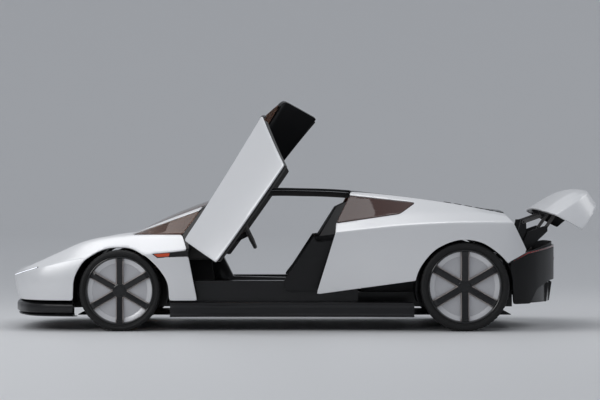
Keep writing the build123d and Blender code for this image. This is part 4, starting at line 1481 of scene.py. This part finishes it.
    def doors(self) -> Pieces:
        """Door skins, cards, frames and glass, raised.

        Returns:
            The pieces, one by one.
        """
        region = self.door_region()
        below = inside(View.SIDE, DOOR_SPLIT + [(300, 100), (-905, 100)])
        above = inside(View.SIDE, DOOR_SPLIT + [(500, 792), (500, 1400), (-905, 1400)])
        window = both(inside(View.SIDE, rounded(DOOR_WINDOW_SIDE, 20)), beyond(1, -140, -1),
                      lambda p: np.maximum(-p[..., 1] - 520, 1000 - p[..., 2]))
        outer = self.skin.panel(both(region, below), False, 8, 14)
        card = self.skin.panel(lambda p: both(region, below)(p) - 6, False, 52, 30, lift=-14)
        frame = self.skin.panel(less(both(region, above), window), False, 20, 20)
        glass = self.skin.panel(both(window, spindle, region), False, 5, 6)
        rest = self.skin.panel(inside(View.SIDE, ARMREST_SIDE), False, 26, 26, lift=-62, edge=6.0)
        pull = self.skin.panel(inside(View.SIDE, PULL_SIDE), False, 10, 10, -66, 4, 1.5)
        speaker = self.skin.panel(inside(View.SIDE, SPEAKER_SIDE), False, 6, 6, -64, 2, 2.0)
        for side in ("left", "right"):
            body = f"door_{side}"
            for name, shape, finishes, nodes in (
                    ("armrest", rest, (LEATHER, LEATHER), []),
                    ("pull", pull, (ALLOY, ALLOY), []),
                    ("speaker", speaker, (STEEL, STEEL), []),
                    ("skin", outer, (WHITE, CARBON), [f"door_panel_{side}"]),
                    ("card", card, (CARBON, LEATHER), []),
                    ("upper", frame, (BLACK, CARBON), [f"door_frame_{side}"]),
                    ("window", glass, (GLASS, GLASS), [f"door_glass_{side}"])):
                turned = shape.turned(DOOR_UP)
                if side == "right":
                    turned = turned.mirrored()
                yield Piece(f"door_{name}_{side}", turned, finishes, body, nodes).make()

    def lid(self) -> Pieces:
        """Raised tail lid with the plates that carry it.

        Returns:
            The pieces, one by one.
        """
        plan = [(1680, -636), (1727, -1000), (2500, -1000), (2500, 10), (1680, 10)]
        field = both(inside(View.SIDE, LID_SIDE), inside(View.PLAN, plan))
        shape = self.skin.panel(field, True, 6, 12).turned(LID_UP)
        yield Piece("lid_skin", shape, (WHITE, CARBON), "tail_lid").make()
        plates = [placed(prism(LID_PLATE, y - self.plate_half, y + self.plate_half)).turned(LID_UP)
                  for y in (-self.plate_y, self.plate_y)]
        yield Piece("lid_plates", joined(plates), (CARBON,), "tail_lid", ["tail_lid"], 0.002).make()


# ---- wheels
@dataclass(frozen=True)
class WheelSet:
    """Tyres, barrels and six-spoke stars of one axle; lengths in mm.

    Attributes:
        end: front or rear.
        x: axle's place along the car.
        y: distance of the tyre's centre plane from the car's.
        radius: tyre's outer radius.
        width: tyre's width.
        rim: rim's radius.
        spoke: width of a spoke.
        spokes: their number.
        bolts: wheel bolts.
        bolt_r: radius of their circle.
        dish: depth of the light plate behind the tyre's face.
        bell: depth of the brake disc's bell behind it.
        back: depth of the spokes' back behind it.
        steps: segments round the tyre.
        slot_every: segments from one shoulder slot to the next.
        slot: depth of a shoulder slot, m.
    """

    end: str
    x: float
    y: float
    radius: float
    width: float
    rim: float
    spoke: float
    spokes: int = 6
    bolts: int = 5
    bolt_r: float = 33.0
    dish: float = 60.0
    bell: float = 84.0
    back: float = 56.0
    steps: int = 240
    slot_every: int = 4
    slot: float = 0.004

    def tyre(self) -> Shape:
        """Tyre with a grooved tread and ribbed sidewalls.

        Returns:
            The tyre, centred on the origin.
        """
        h, r, rim = self.width / 2, self.radius, self.rim
        side = [(h - 26, rim - 2), (h - 12, rim - 1), (h - 5, rim + 4), (h - 3, rim + 9),
                (h - 5, rim + 12), (h - 2, rim + 16), (h - 0.5, rim + 24), (h - 0.5, r - 26),
                (h - 2.5, r - 16), (h - 7, r - 8.5), (h - 13, r - 4)]
        tread = []
        grooves = (-0.56, -0.2, 0.2, 0.56)
        flat = h - 20
        tread.append((flat, r - 1.2))
        for g in sorted(grooves, reverse=True):
            c = g * flat
            tread += [(c + 6.5, r), (c + 5.0, r - 6.5), (c - 5.0, r - 6.5), (c - 6.5, r)]
        tread.append((-flat, r - 1.2))
        other = [(-a, b) for a, b in reversed(side)]
        inner = [(-h + 20, rim + 24), (-h + 44, r - 16), (h - 44, r - 16), (h - 20, rim + 24)]
        profile = side + tread + other + inner
        shape = lathe(profile, self.steps)
        first, last = len(side), len(side) + len(tread)
        points = shape.points.reshape(self.steps, len(profile), 3)
        for k in range(0, self.steps, self.slot_every):
            for m in (*range(first - 2, first + 2), *range(last - 2, last + 2)):
                flat_r = np.hypot(points[k, m, 0], points[k, m, 2])
                points[k, m, [0, 2]] *= (flat_r - self.slot) / flat_r
        shape.points = points.reshape(-1, 3)
        return shape

    def barrel(self) -> Shape:
        """Wheel barrel with its lips.

        Returns:
            The barrel, centred on the origin.
        """
        h, rr = self.width / 2, self.rim
        face = h - self.dish
        profile = [(-h + 8, rr - 2), (-h + 6, rr - 8), (-h + 10, rr - 15), (-h + 60, rr - 26),
                   (face - 14, rr - 28), (face - 12, 60), (face - 6, 60), (face - 4, rr - 24),
                   (face + 10, rr - 19), (h - 16, rr - 15), (h - 9, rr - 12), (h - 6, rr - 7),
                   (h - 8, rr - 2), (h - 14, rr - 2), (h - 17, rr - 8), (-h + 19, rr - 8),
                   (-h + 16, rr - 2)]
        return lathe(profile, 180)

    def plate(self) -> Shape:
        """Flat light disc behind the spokes, with a raised chamfered ring.

        Returns:
            The disc; material 1 on the ring, a lighter copy of the alloy that paints the highlight
            on its slope.
        """
        h, rr = self.width / 2, self.rim
        face = h - self.dish
        grey, ring = rr - 17, rr - 56
        profile = [(face - 3, 58), (face, 62), (face, ring), (face + 3, ring + 3),
                   (face + 4, ring + 6), (face + 12, grey - 5), (face + 12.5, grey - 1),
                   (face + 9, grey), (face - 3, grey - 3)]
        shape = lathe(profile, 180)
        n = len(profile)
        shape.index = [1 if 2 <= k % n <= 6 else 0 for k in range(len(shape.faces))]
        return shape

    def disc(self) -> Shape:
        """Brake disc with its bell.

        Returns:
            The disc, centred on the origin.
        """
        face = self.width / 2 - self.bell
        profile = [(-16, 30), (-16, 196), (-13, 200), (-4, 200), (-3, 198), (3, 198), (4, 200),
                   (13, 200), (16, 196), (16, 96), (20, 90), (face - 6, 84), (face, 78),
                   (face, 30)]
        return lathe(profile, 96)

    def star(self) -> Shape:
        """Six-spoke face with tapered, crowned spokes.

        Returns:
            The star; material 1 on the chamfers, coloured lighter as a painted highlight along the
            spokes' edges.
        """
        h, rr, half = self.width / 2, self.rim, self.spoke / 2
        face = h - self.back
        shapes, rings = [], []
        for r, wide, top in ((20, half * 1.0, h - 31), (70, half * 1.0, h - 29),
                             (rr * 0.5, half * 0.98, h - 20), (rr * 0.8, half * 1.0, h - 15),
                             (rr - 40, half * 1.02, h - 13), (rr - 26, half * 1.04, h - 18),
                             (rr - 15, half * 1.06, h - 20)):
            ring = [(-wide, face), (-wide, top - 16), (-wide + 6, top - 4), (-wide + 9, top - 1),
                    (-wide + 20, top), (wide - 20, top), (wide - 9, top - 1), (wide - 6, top - 4),
                    (wide, top - 16), (wide, face)]
            rings.append(np.array([(x, -y, r) for x, y in ring]))
        one = skin_rings(rings)
        n = len(rings[0])
        # these chamfers carry the lighter colour that paints the edge highlight
        lit = {1, 2, n - 4, n - 3}  # the chamfers along both edges
        one.index = [1 if max(f) - min(f) < 2 * n and len(f) == 4
                     and min(f) % n in lit and (min(f) + 1) in f else 0 for f in one.faces]
        for k in range(self.spokes):
            shapes.append(one.turned(Matrix.Rotation(k * 2 * math.pi / self.spokes, 4, "Y")))
        hub = [(face, 0.5), (face, 60), (h - 38, 60), (h - 31, 56), (h - 28, 49), (h - 27, 46),
               (h - 29, 44), (h - 29, 0.5)]
        shapes.append(lathe(hub, 60, closed=False))
        bolt = lathe([(h - 34, 6.5), (h - 26, 6.5), (h - 25, 5.5), (h - 25, 0.5)], 6, closed=False)
        for k in range(self.bolts):
            a = 2 * math.pi * k / self.bolts
            place = np.array([math.cos(a), 0, math.sin(a)]) * self.bolt_r * MM
            shapes.append(Shape(bolt.points + place, bolt.faces))
        return joined(shapes)

    def build(self) -> Pieces:
        """This axle's two wheels.

        Returns:
            The pieces, one by one.
        """
        for side in ("left", "right"):
            body = f"wheel_{self.end}_{side}"
            for name, shape, finish, nodes, smooth in (
                    ("tyre", self.tyre(), (TYRE,), [f"tyre_{self.end}_{side}"], 40),
                    ("barrel", self.barrel(), (STAR,), [f"rim_{self.end}_{side}"], 25),
                    ("plate", self.plate(), (DISC, RING_HIGHLIGHT), [], 20),
                    ("brake_disc", self.disc(), (STEEL,), [], 30),
                    ("star", self.star(), (STAR, EDGE), [f"star_{self.end}_{side}"], 24)):
                shape = placed(shape, self.x, -self.y, self.radius)
                if side == "right":
                    shape = shape.mirrored()
                yield Piece(f"{name}_{self.end}_{side}", shape, finish, body, nodes,
                            smooth=smooth).make()


WHEELS = (WheelSet("front", -1449.0, 838.0, 326.0, 255.0, 276.0, 64.0),
          WheelSet("rear", 1324.0, 822.0, 359.0, 325.0, 298.0, 72.0))


# ---- cabin
SEAT_SIDE = [(-330, 200), (-322, 262), (-298, 280), (84, 212), (120, 232), (286, 786), (318, 808),
             (372, 800), (384, 776), (224, 150), (200, 145), (-300, 145)]
WING_SIDE = [(-300, 270), (-250, 322), (-40, 318), (70, 330), (228, 700), (280, 784), (300, 780),
             (130, 260), (84, 206)]
CUSHION_SIDE = [(-312, 268), (-306, 304), (-180, 306), (70, 258), (92, 222)]
BACKREST_SIDE = [(100, 244), (84, 262), (214, 640), (262, 786), (284, 776), (128, 262)]
HEADREST_SIDE = [(262, 700), (240, 716), (272, 800), (300, 800), (306, 786)]
DASH_SIDE = [(-955, 560), (-962, 690), (-930, 714), (-790, 734), (-730, 726), (-668, 694),
             (-648, 640), (-660, 596), (-700, 566)]
DASH_SPAN = [(-636, 0.82), (-626, 0.93), (-560, 1.0), (-300, 1.0), (0, 0.97), (300, 1.0),
             (560, 1.0), (626, 0.93), (636, 0.82)]  # across the car, and the outline's scale
CONSOLE_SIDE = [(-700, 150), (196, 150), (196, 330), (120, 396), (-560, 410), (-655, 600),
                (-740, 600), (-720, 400)]
TUNNEL_SIDE = [(-1000, 148), (-705, 148), (-722, 420), (-745, 596), (-1000, 596)]
HOOD_SIDE = [(-760, 724), (-700, 770), (-664, 764), (-660, 690), (-700, 690)]
CLUSTER_SIDE = [(-662, 696), (-658, 696), (-662, 756), (-666, 756)]
TABLET_SIDE = [(-652, 560), (-648, 562), (-668, 676), (-673, 674)]
PEDAL_SIDE = [(-930, 250), (-922, 254), (-962, 372), (-970, 368)]
TONGUE_SIDE = [(296, 700), (340, 704), (332, 760), (304, 757)]
COLUMN_PATH = [(-690, -380, 656), (-560, -380, 717), (-436, -380, 775)]
BELT_PATH = [(392, 470, 1010), (372, 500, 960), (330, 578, 760), (292, 590, 560),
             (268, 592, 420), (262, 590, 300)]
CLOTH_FRAMES, CLOTH_QUALITY, CLOTH_SMOOTHING = 20, 5, 4


def pad(outline: Outline, y0: float, y1: float, crown: float) -> Shape:
    """Closed pad whose sides pull in: side outline, widest in the middle.

    Args:
        outline: side view, mm.
        y0: lower side limit, mm.
        y1: upper side limit, mm.
        crown: how far the outline shrinks at its two ends, per cent.

    Returns:
        The pad.
    """
    p = np.array(rounded(outline, 22), float)
    centre = p.mean(0)
    rings = []
    for t in np.linspace(-1, 1, 13):
        scale = 1 - (crown / 100.0) * abs(t) ** 4
        q = centre + (p - centre) * scale
        y = (y0 + y1) / 2 + t * (y1 - y0) / 2
        rings.append(np.stack([q[:, 0], np.full(len(q), y), q[:, 1]], 1))
    return skin_rings(rings)


def inflate(obj: bpy.types.Object, voxel: float, pressure: float, cap: float) -> None:
    """Swells a padded piece by a short cloth simulation and keeps the result.

    Args:
        obj: the pad.
        voxel: remesh size, m.
        pressure: air pressure.
        cap: furthest that a point may move, m.
    """
    remesh = obj.modifiers.new("voxels", "REMESH")
    remesh.mode, remesh.voxel_size = "VOXEL", voxel
    apply_modifiers(obj)
    start = np.array([v.co for v in obj.data.vertices])
    cloth = obj.modifiers.new("cloth", "CLOTH")
    cloth.settings.use_pressure = True
    cloth.settings.uniform_pressure_force = pressure
    cloth.settings.effector_weights.gravity = 0.0
    cloth.settings.quality = CLOTH_QUALITY
    scene = bpy.context.scene
    for number in range(1, CLOTH_FRAMES + 1):
        scene.frame_set(number)
    graph = bpy.context.evaluated_depsgraph_get()
    mesh = bpy.data.meshes.new_from_object(obj.evaluated_get(graph))
    end = np.array([v.co for v in mesh.vertices])
    move = end - start
    far = np.maximum(np.linalg.norm(move, axis=1), 1e-9)
    end = start + move * np.minimum(1, cap / far)[:, None]
    mesh.vertices.foreach_set("co", end.astype(np.float32).ravel())
    obj.modifiers.clear()
    obj.data = mesh
    scene.frame_set(1)
    smooth = obj.modifiers.new("smooth", "CORRECTIVE_SMOOTH")
    smooth.iterations = CLOTH_SMOOTHING
    smooth.use_only_smooth = True
    apply_modifiers(obj)


@dataclass
class Cabin:
    """Seats, dash, wheel and trim; lengths in mm.

    Attributes:
        seat_y: distance of a seat from the centre plane.
        shell_half: half width of a seat shell.
        wing_y: inner and outer face of a seat's side wings, from its middle.
        pads: name, outline, shrink at the ends in per cent, and half width of each pad.
        voxel: remesh size of the pads, m.
        pressure: air pressure in the pads.
        cap: furthest that a pad's point may move, m.
        fill: how full the pads are; not used.
        tunnel_half: half width of console and tunnel.
        vent_y: middle of each air vent.
        vent_half: half width of a vent.
        mat_y: distance of a carpet's middle from the centre plane.
        mat_half: half its width.
        wheel_at: centre of the steering wheel.
        wheel_tilt: its tilt, degrees.
        wheel_r: radius of its rim.
        wheel_flat: where the rim is cut flat towards the driver's legs.
        grip: half thickness of the rim.
    """

    seat_y: float = 340.0
    shell_half: float = 215.0
    wing_y: tuple = (196.0, 218.0)
    pads: tuple = (("cushion", CUSHION_SIDE, 10, 184), ("backrest", BACKREST_SIDE, 10, 184),
                   ("headrest", HEADREST_SIDE, 8, 110))
    voxel: float = 0.006
    pressure: float = 4.0
    cap: float = 0.010
    fill: float = 0.7
    tunnel_half: float = 78.0
    vent_y: tuple = (-560.0, -180.0, 180.0, 560.0)
    vent_half: float = 42.0
    mat_y: float = 365.0
    mat_half: float = 255.0
    wheel_at: tuple = (-425.0, -380.0, 780.0)
    wheel_tilt: float = 65.0
    wheel_r: float = 158.0
    wheel_flat: float = 128.0
    grip: float = 14.5

    def build(self) -> Pieces:
        """Everything in the cabin.

        Returns:
            The pieces, one by one.
        """
        yield from self.seats()
        yield from self.dash()
        yield from self.wheel()

    def seats(self) -> Pieces:
        """Two bucket shells with padded cushions.

        Returns:
            The pieces, one by one.
        """
        shells = []
        for y in (-self.seat_y, self.seat_y):
            shells.append(placed(prism(SEAT_SIDE, y - self.shell_half, y + self.shell_half)))
            for s in (-1, 1):
                shells.append(placed(prism(WING_SIDE, *sorted(y + s * w for w in self.wing_y))))
        yield Piece("seat_shells", joined(shells), (CARBON,), replaces=["seats"],
                    bevel=0.006).make()
        for side, y in (("left", -self.seat_y), ("right", self.seat_y)):
            for name, outline, crown, half in self.pads:
                shape = placed(pad(outline, y - half, y + half, crown))
                obj = Piece(f"seat_{name}_{side}", shape, (LEATHER,)).make()
                inflate(obj, self.voxel, self.pressure, self.cap)
                obj.data.shade_smooth()
                yield obj

    def dash(self) -> Pieces:
        """Dash pad, instrument hood, screen, console and column.

        Returns:
            The pieces, one by one.
        """
        rings = []
        p = np.array(rounded(DASH_SIDE, 24), float)
        c = p.mean(0)
        for y, scale in DASH_SPAN:
            q = c + (p - c) * scale
            rings.append(np.stack([q[:, 0], np.full(len(q), y), q[:, 1]], 1))
        yield Piece("dash_pad", placed(skin_rings(rings)), (LEATHER,), replaces=["dashboard"],
                    levels=1).make()
        for name, outline, finish in (("console", CONSOLE_SIDE, CARBON),
                                      ("tunnel", TUNNEL_SIDE, SUEDE)):
            bar = prism(outline, -self.tunnel_half, self.tunnel_half)
            yield Piece(name, placed(bar), (finish,), bevel=0.012).make()
        yield from self.trim()
        yield Piece("instrument_hood", placed(prism(HOOD_SIDE, -520, -240)), (LEATHER,),
                    bevel=0.010).make()
        screens = [placed(prism(CLUSTER_SIDE, -500, -260)), placed(prism(TABLET_SIDE, -110, 110))]
        yield Piece("screens", joined(screens), (STRIP,), bevel=0.001).make()
        column = tube(COLUMN_PATH, 24, 20)
        yield Piece("column", placed(column), (PLASTIC,), bevel=0.002).make()
        vents = [placed(block(-654, -646, y - self.vent_half, y + self.vent_half,
                              628 + 11 * k, 632 + 11 * k))
                 for y in self.vent_y for k in range(4)]
        yield Piece("vents", joined(vents), (ALLOY,), bevel=0.001).make()

    def trim(self) -> Pieces:
        """Carpets, pedals, and belts that hang beside the seats.

        Returns:
            The pieces, one by one.
        """
        mats = [placed(block(-995, 380, y - self.mat_half, y + self.mat_half, 145.4, 153))
                for y in (-self.mat_y, self.mat_y)]
        yield Piece("carpets", joined(mats), (SUEDE,), bevel=0.003).make()
        pedals = []
        for y, wide in ((-430, 26), (-340, 40)):
            pedals.append(placed(prism(PEDAL_SIDE, y - wide, y + wide)))
            pedals.append(placed(tube([(-945, y, 320), (-990, y, 400), (-1000, y, 470)], 9, 10)))
        yield Piece("pedals", joined(pedals), (ALLOY,), bevel=0.002).make()
        straps, tongues = [], []
        for s in (-1, 1):
            rings = []
            for x, out, z in BELT_PATH:
                y = s * out
                rings.append(np.array([(x - 23, y, z - 4), (x + 23, y, z + 4),
                                       (x + 23, y + s * 1.6, z + 4), (x - 23, y + s * 1.6, z - 4)]))
            straps.append(placed(skin_rings(rings)))
            tongues.append(placed(prism(TONGUE_SIDE, *sorted((s * 576, s * 584)))))
        yield Piece("belts", joined(straps), (SUEDE,)).make()
        yield Piece("belt_tongues", joined(tongues), (ALLOY,), bevel=0.0015).make()

    def wheel(self) -> Pieces:
        """Flat-bottomed steering wheel with grips and a hub.

        Returns:
            The pieces, one by one.
        """
        turn = placed_matrix(*self.wheel_at, self.wheel_tilt)
        rings = []
        for a in turns(64):
            x = min(self.wheel_r * math.cos(a), self.wheel_flat)
            y = self.wheel_r * math.sin(a)
            thick = self.grip + 3.0 * math.exp(-((math.sin(a) ** 2 - 0.85) ** 2) / 0.02)
            way = np.array([x, y, 0.0]) / math.hypot(x, y)
            b = turns(14)
            rings.append(np.array([x, y, 0.0]) + thick * (
                np.outer(np.cos(b), way) + np.outer(np.sin(b), [0, 0, 1.0])))
        rim = skin_rings(rings, caps=False, closed=True).turned(turn)
        yield Piece("steering_rim", rim, (SUEDE,), replaces=["steering_wheel"], levels=1).make()
        parts = []
        for a in (90, 270, 0):
            arm = prism([(24, -10), (140 if a else 116, -7), (140 if a else 116, 7), (24, 12)],
                        -17, 17)
            parts.append(arm.turned(Matrix.Rotation(math.radians(a), 4, "Z")))
        b = turns(40)
        hub = [np.stack([r * np.cos(b) * 1.1, r * np.sin(b), np.full(len(b), float(z))], 1)
               for r, z in ((34, -18), (44, -14), (46, 2), (42, 12), (30, 16))]
        parts.append(skin_rings(hub))
        yield Piece("steering_hub", joined(parts).turned(turn), (PLASTIC,), bevel=0.003).make()


def placed_matrix(x: float, y: float, z: float, degrees: float) -> Matrix:
    """Placement in table mm, turned about Y."""
    return (Matrix.Translation(((x + SHIFT) * MM, y * MM, z * MM))
            @ Matrix.Rotation(math.radians(degrees), 4, "Y"))


# ---- lamps, tail and trim
FIN_SIDE = [(-190, 216), (-34, 216), (-12, 372), (-60, 390), (-120, 330)]  # from the tail's edge
CAN_PROFILE = [(-207, 60), (-204, 72), (-196, 75), (-100, 75), (-98, 76.5), (-92, 76.5),
               (-90, 75), (90, 75), (92, 76.5), (98, 76.5), (100, 75), (196, 75), (204, 72),
               (207, 60)]  # silencer: place across the car, and radius


@dataclass
class Details:
    """Lamps, diffuser, exhaust tips and side skirts; lengths in mm.

    Attributes:
        skin: what the lamps are cut from.
        fin_y: where the diffuser's fins stand across the car.
        fin_half: half the thickness of a fin.
        can_at: middle of the silencer, along the car and up.
        sill_x: front and rear end of the side skirts.
        sill_y: their inner edge.
        sill_cuts: sections along them.
    """

    skin: Skin
    fin_y: tuple = (-440.0, -220.0, 0.0, 220.0, 440.0)
    fin_half: float = 4.0
    can_at: tuple = (1868.0, 640.0)
    sill_x: tuple = (-1046.0, 918.0)
    sill_y: float = 785.0
    sill_cuts: int = 28

    def build(self) -> Pieces:
        """All small pieces outside.

        Returns:
            The pieces, one by one.
        """
        yield from self.lamps()
        yield from self.tail()
        yield from self.sills()

    def lamps(self) -> Pieces:
        """Marker lenses, and headlamp light bars whose white glow along the nose crease is also a
        painted highlight of that crease.

        Returns:
            The pieces, one by one.
        """
        lamp = self.skin.panel(inside(View.SIDE, LAMP_SIDE), False, 4, 4, 1.0, 4, 0.8)
        yield Piece("marker_lens", lamp.paired(), (LAMP_ORANGE, LAMP_ORANGE)).make()
        # glowing bars along the crease, which also paint the crease's highlight
        bar = self.skin.panel(inside(View.SIDE, HIGHLIGHT_LAMP_LINE), False, 3, 3, 1.8, 6, 0.4)
        yield Piece("headlamp_highlight_bars", bar.paired(), (HIGHLIGHT_LAMP_WHITE, HIGHLIGHT_LAMP_WHITE)).make()

    def tail(self) -> Pieces:
        """Diffuser fins, silencer and tail pipes.

        Returns:
            The pieces, one by one.
        """
        fins = []
        tail = [(r[1], r[0]) for r in STATIONS[::-1] if r[0] > 1800]
        for y in self.fin_y:
            x = float(np.interp(abs(y), [p[0] for p in tail], [p[1] for p in tail]))
            fins.append(placed(prism([(x + back, z) for back, z in FIN_SIDE],
                                     y - self.fin_half, y + self.fin_half)))
        yield Piece("diffuser_fins", joined(fins), (CARBON,), bevel=0.002).make()
        tips = []
        for s in (-1, 1):
            a = np.array([PIPE_START[0], s * PIPE_Y, PIPE_START[1]])
            b = np.array([PIPE_END[0], s * PIPE_Y, PIPE_END[1]])
            way = (b - a) / np.linalg.norm(b - a)
            across = np.array([0, 1.0, 0])
            up = np.cross(way, across)
            ring = turns(48)
            rings = []
            for t, r in ((0.0, PIPE_R), (0.96, PIPE_R), (0.99, PIPE_R - 0.5), (1.0, PIPE_R - 2),
                         (1.0, PIPE_R - 4), (0.98, PIPE_R - 5.5), (0.4, PIPE_R - 5.5)):
                centre = a + (b - a) * t
                rings.append(centre + r * (np.outer(np.cos(ring), across)
                                           + np.outer(np.sin(ring), up)))
            tips.append(placed(skin_rings(rings, caps=False)))
        can = []
        ring = turns(56)
        for y, r in CAN_PROFILE:
            can.append(np.stack([self.can_at[0] + r * np.cos(ring), np.full(len(ring), float(y)),
                                 self.can_at[1] + r * np.sin(ring)], 1))
        tips.append(placed(skin_rings(can)))
        yield Piece("silencer_and_tips", joined(tips), (TITAN,), replaces=["exhaust"]).make()

    def sills(self) -> Pieces:
        """Side skirts with a ledge and a blade along the bottom.

        Returns:
            The piece.
        """
        parts = []
        for s in (-1, 1):
            rings = []
            for x in np.linspace(*self.sill_x, self.sill_cuts):
                i = int(np.argmin(abs(self.skin.surface.grid[:, 6, 0] - x)))
                y = abs(self.skin.surface.grid[i, 3, 1])
                ring = [(self.sill_y, 230), (y - 18, 231), (y - 10, 226), (y - 9, 206),
                        (y - 3, 198), (y + 1, 178), (y - 2, 140), (y + 5, 132), (y + 6, 116),
                        (y + 2, 112.5), (self.sill_y, 112.5)]
                rings.append(np.array([(x, s * p, z) for p, z in ring]))
            parts.append(placed(skin_rings(rings)))
        yield Piece("sill_skins", joined(parts), (CARBON,), replaces=["sills"], bevel=0.0015).make()


@dataclass
class ArchShadeFlaps:
    """Inner walls that carry the wheel-arch liners down to the floor: dark sheets put in the gaps
    beside the tyres, where the floor lies in shade; lengths in mm.

    Attributes:
        arches: for each axle its place, height and liner radius, the walls' inner and outer
            edge across the car, and the stretches of angle that they fill, in degrees.
        wall: their thickness.
        cuts: sections along a stretch.
    """

    arches: tuple = ((-1449, 326, 386, 560, 925, ((-16, 2), (178, 196))),
                     (1324, 359, 392, 575, 930, ((178, 200),)))
    wall: float = 4.0
    cuts: int = 14

    def build(self) -> Pieces:
        """All walls as one piece.

        Returns:
            The piece.
        """
        parts = []
        for x, z, radius, y0, y1, spans in self.arches:
            corners = ((radius, y0), (radius, y1), (radius + self.wall, y1),
                       (radius + self.wall, y0))
            for a0, a1 in spans:
                rings = [np.array([(x + r * math.cos(a), y, z + r * math.sin(a))
                                   for r, y in corners])
                         for a in np.radians(np.linspace(a0, a1, self.cuts))]
                one = placed(skin_rings(rings))
                parts += [one, one.mirrored()]
        # dark walls that paint the shade in the gaps round the tyres
        yield Piece("arch_shade_flaps", joined(parts), (PLASTIC,)).make()


CAD_FINISHES = {
    CARBON: ("chassis_tub",), PLASTIC: ("undertray", "front_liners", "rear_liners"),
    CASTING: ("engine_block",), ALLOY: ("front_suspension", "rear_suspension", "knuckle_left",
                                        "knuckle_right"),
    COPPER: ("caliper_front_left", "caliper_front_right", "rear_calipers"),
    STEEL: ("lid_arms", "lid_links"),
}


def finish_cad(nodes: dict) -> None:
    """Gives every CAD node that still shows its finish.

    Args:
        nodes: CAD objects by name.
    """
    chosen = {name: finish for finish, names in CAD_FINISHES.items() for name in names}
    for name, obj in nodes.items():
        finish = chosen.get(name, PLASTIC)
        obj.data.materials.clear()
        obj.data.materials.append(MATERIALS.get(finish))


# ---- studio
@dataclass
class Studio:
    """Camera, a pale floor that curves up into a wall all round, and soft lights.

    Attributes:
        sensor: camera's sensor width, mm.
        lens: its focal length, mm.
        distance: its distance from the car's centre plane, m.
        height: its height, m.
        far: its far clipping distance, m.
        reach: radius of the floor with its wall, m.
        cove: radius of the curve between floor and wall, m.
        sides: segments round the floor.
        paper: colour of floor and wall.
        sky: colour of the light from all round.
        sky_power: its strength.
        lights: name, place, turn in degrees, size and power of each area light.
    """

    sensor: float = 36.0
    lens: float = 127.5
    distance: float = 18.0
    height: float = 1.054
    far: float = 200.0
    reach: float = 70.0
    cove: float = 30.0
    sides: int = 96
    paper: tuple = (0.68, 0.685, 0.695, 1)
    sky: tuple = (0.86, 0.89, 0.94, 1)
    sky_power: float = 0.62
    lights: tuple = (("overhead", (-0.6, -0.4, 5.4), (-3, 0, 0), (8.0, 2.0), 90),
                     ("key", (-7.5, -8.0, 5.5), (58, 0, -43), (7.0, 4.0), 260),
                     ("rim", (5.5, 4.0, 3.5), (-55, 0, -50), (3.0, 2.0), 14))

    def build(self) -> None:
        """Sets up the whole studio."""
        self.view()
        self.floor()
        self.light()

    def view(self) -> None:
        """Level camera square to the car's left side."""
        scene = bpy.context.scene
        data = bpy.data.cameras.new("camera")
        data.sensor_width, data.lens, data.clip_end = self.sensor, self.lens, self.far
        camera = bpy.data.objects.new("camera", data)
        camera.location = (SHIFT * MM, -self.distance, self.height)
        camera.rotation_euler = (math.radians(90), 0, 0)
        scene.collection.objects.link(camera)
        scene.camera = camera
        scene.view_settings.view_transform = "Standard"

    def floor(self) -> None:
        """Round floor whose rim curves up into a wall."""
        flat = self.reach - self.cove
        rows = [(flat, 0.0)]
        rows += [(flat + self.cove * math.sin(t), self.cove - self.cove * math.cos(t))
                 for t in np.linspace(0.05, math.pi / 2, 24)]
        points = [(0.0, 0.0, 0.0)]
        for r, z in rows:
            points += [(r * math.cos(a), r * math.sin(a), z)
                       for a in turns(self.sides)]
        faces = [(0, 1 + k, 1 + (k + 1) % self.sides) for k in range(self.sides)]
        for i in range(len(rows) - 1):
            a, b = 1 + i * self.sides, 1 + (i + 1) * self.sides
            for k in range(self.sides):
                m = (k + 1) % self.sides
                faces.append((a + k, b + k, b + m, a + m))
        ground = bpy.data.meshes.new("floor")
        ground.from_pydata(points, [], faces)
        floor = bpy.data.objects.new("floor", ground)
        bpy.context.scene.collection.objects.link(floor)
        paper = bpy.data.materials.new("paper")
        paper.use_nodes = True
        shader = paper.node_tree.nodes["Principled BSDF"]
        shader.inputs["Base Color"].default_value = self.paper
        shader.inputs["Roughness"].default_value = 0.55
        ground.materials.append(paper)
        ground.shade_smooth()

    def light(self) -> None:
        """Even light from all round, and the area lights."""
        scene = bpy.context.scene
        world = bpy.data.worlds.new("world")
        scene.world = world
        world.use_nodes = True
        world.node_tree.nodes["Background"].inputs["Color"].default_value = self.sky
        world.node_tree.nodes["Background"].inputs["Strength"].default_value = self.sky_power
        for name, place, turn, size, power in self.lights:
            light = bpy.data.lights.new(name, "AREA")
            light.shape, light.size, light.size_y, light.energy = "RECTANGLE", *size, power
            lamp = bpy.data.objects.new(name, light)
            lamp.location = place
            lamp.rotation_euler = [math.radians(a) for a in turn]
            scene.collection.objects.link(lamp)


def main() -> None:
    """Builds the whole scene and reports each piece."""
    logging.basicConfig(level=logging.INFO, format="%(message)s")
    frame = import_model()
    Studio().build()
    finish_cad(frame["nodes"])
    skin = Skin(BodySurface())
    for assembly in (Body(skin), *WHEELS, Cabin(), Details(skin), ArchShadeFlaps()):
        for piece in assembly.build():
            log.info("%s: %d faces", piece.name, len(piece.data.polygons))


if __name__ == "__main__":
    main()
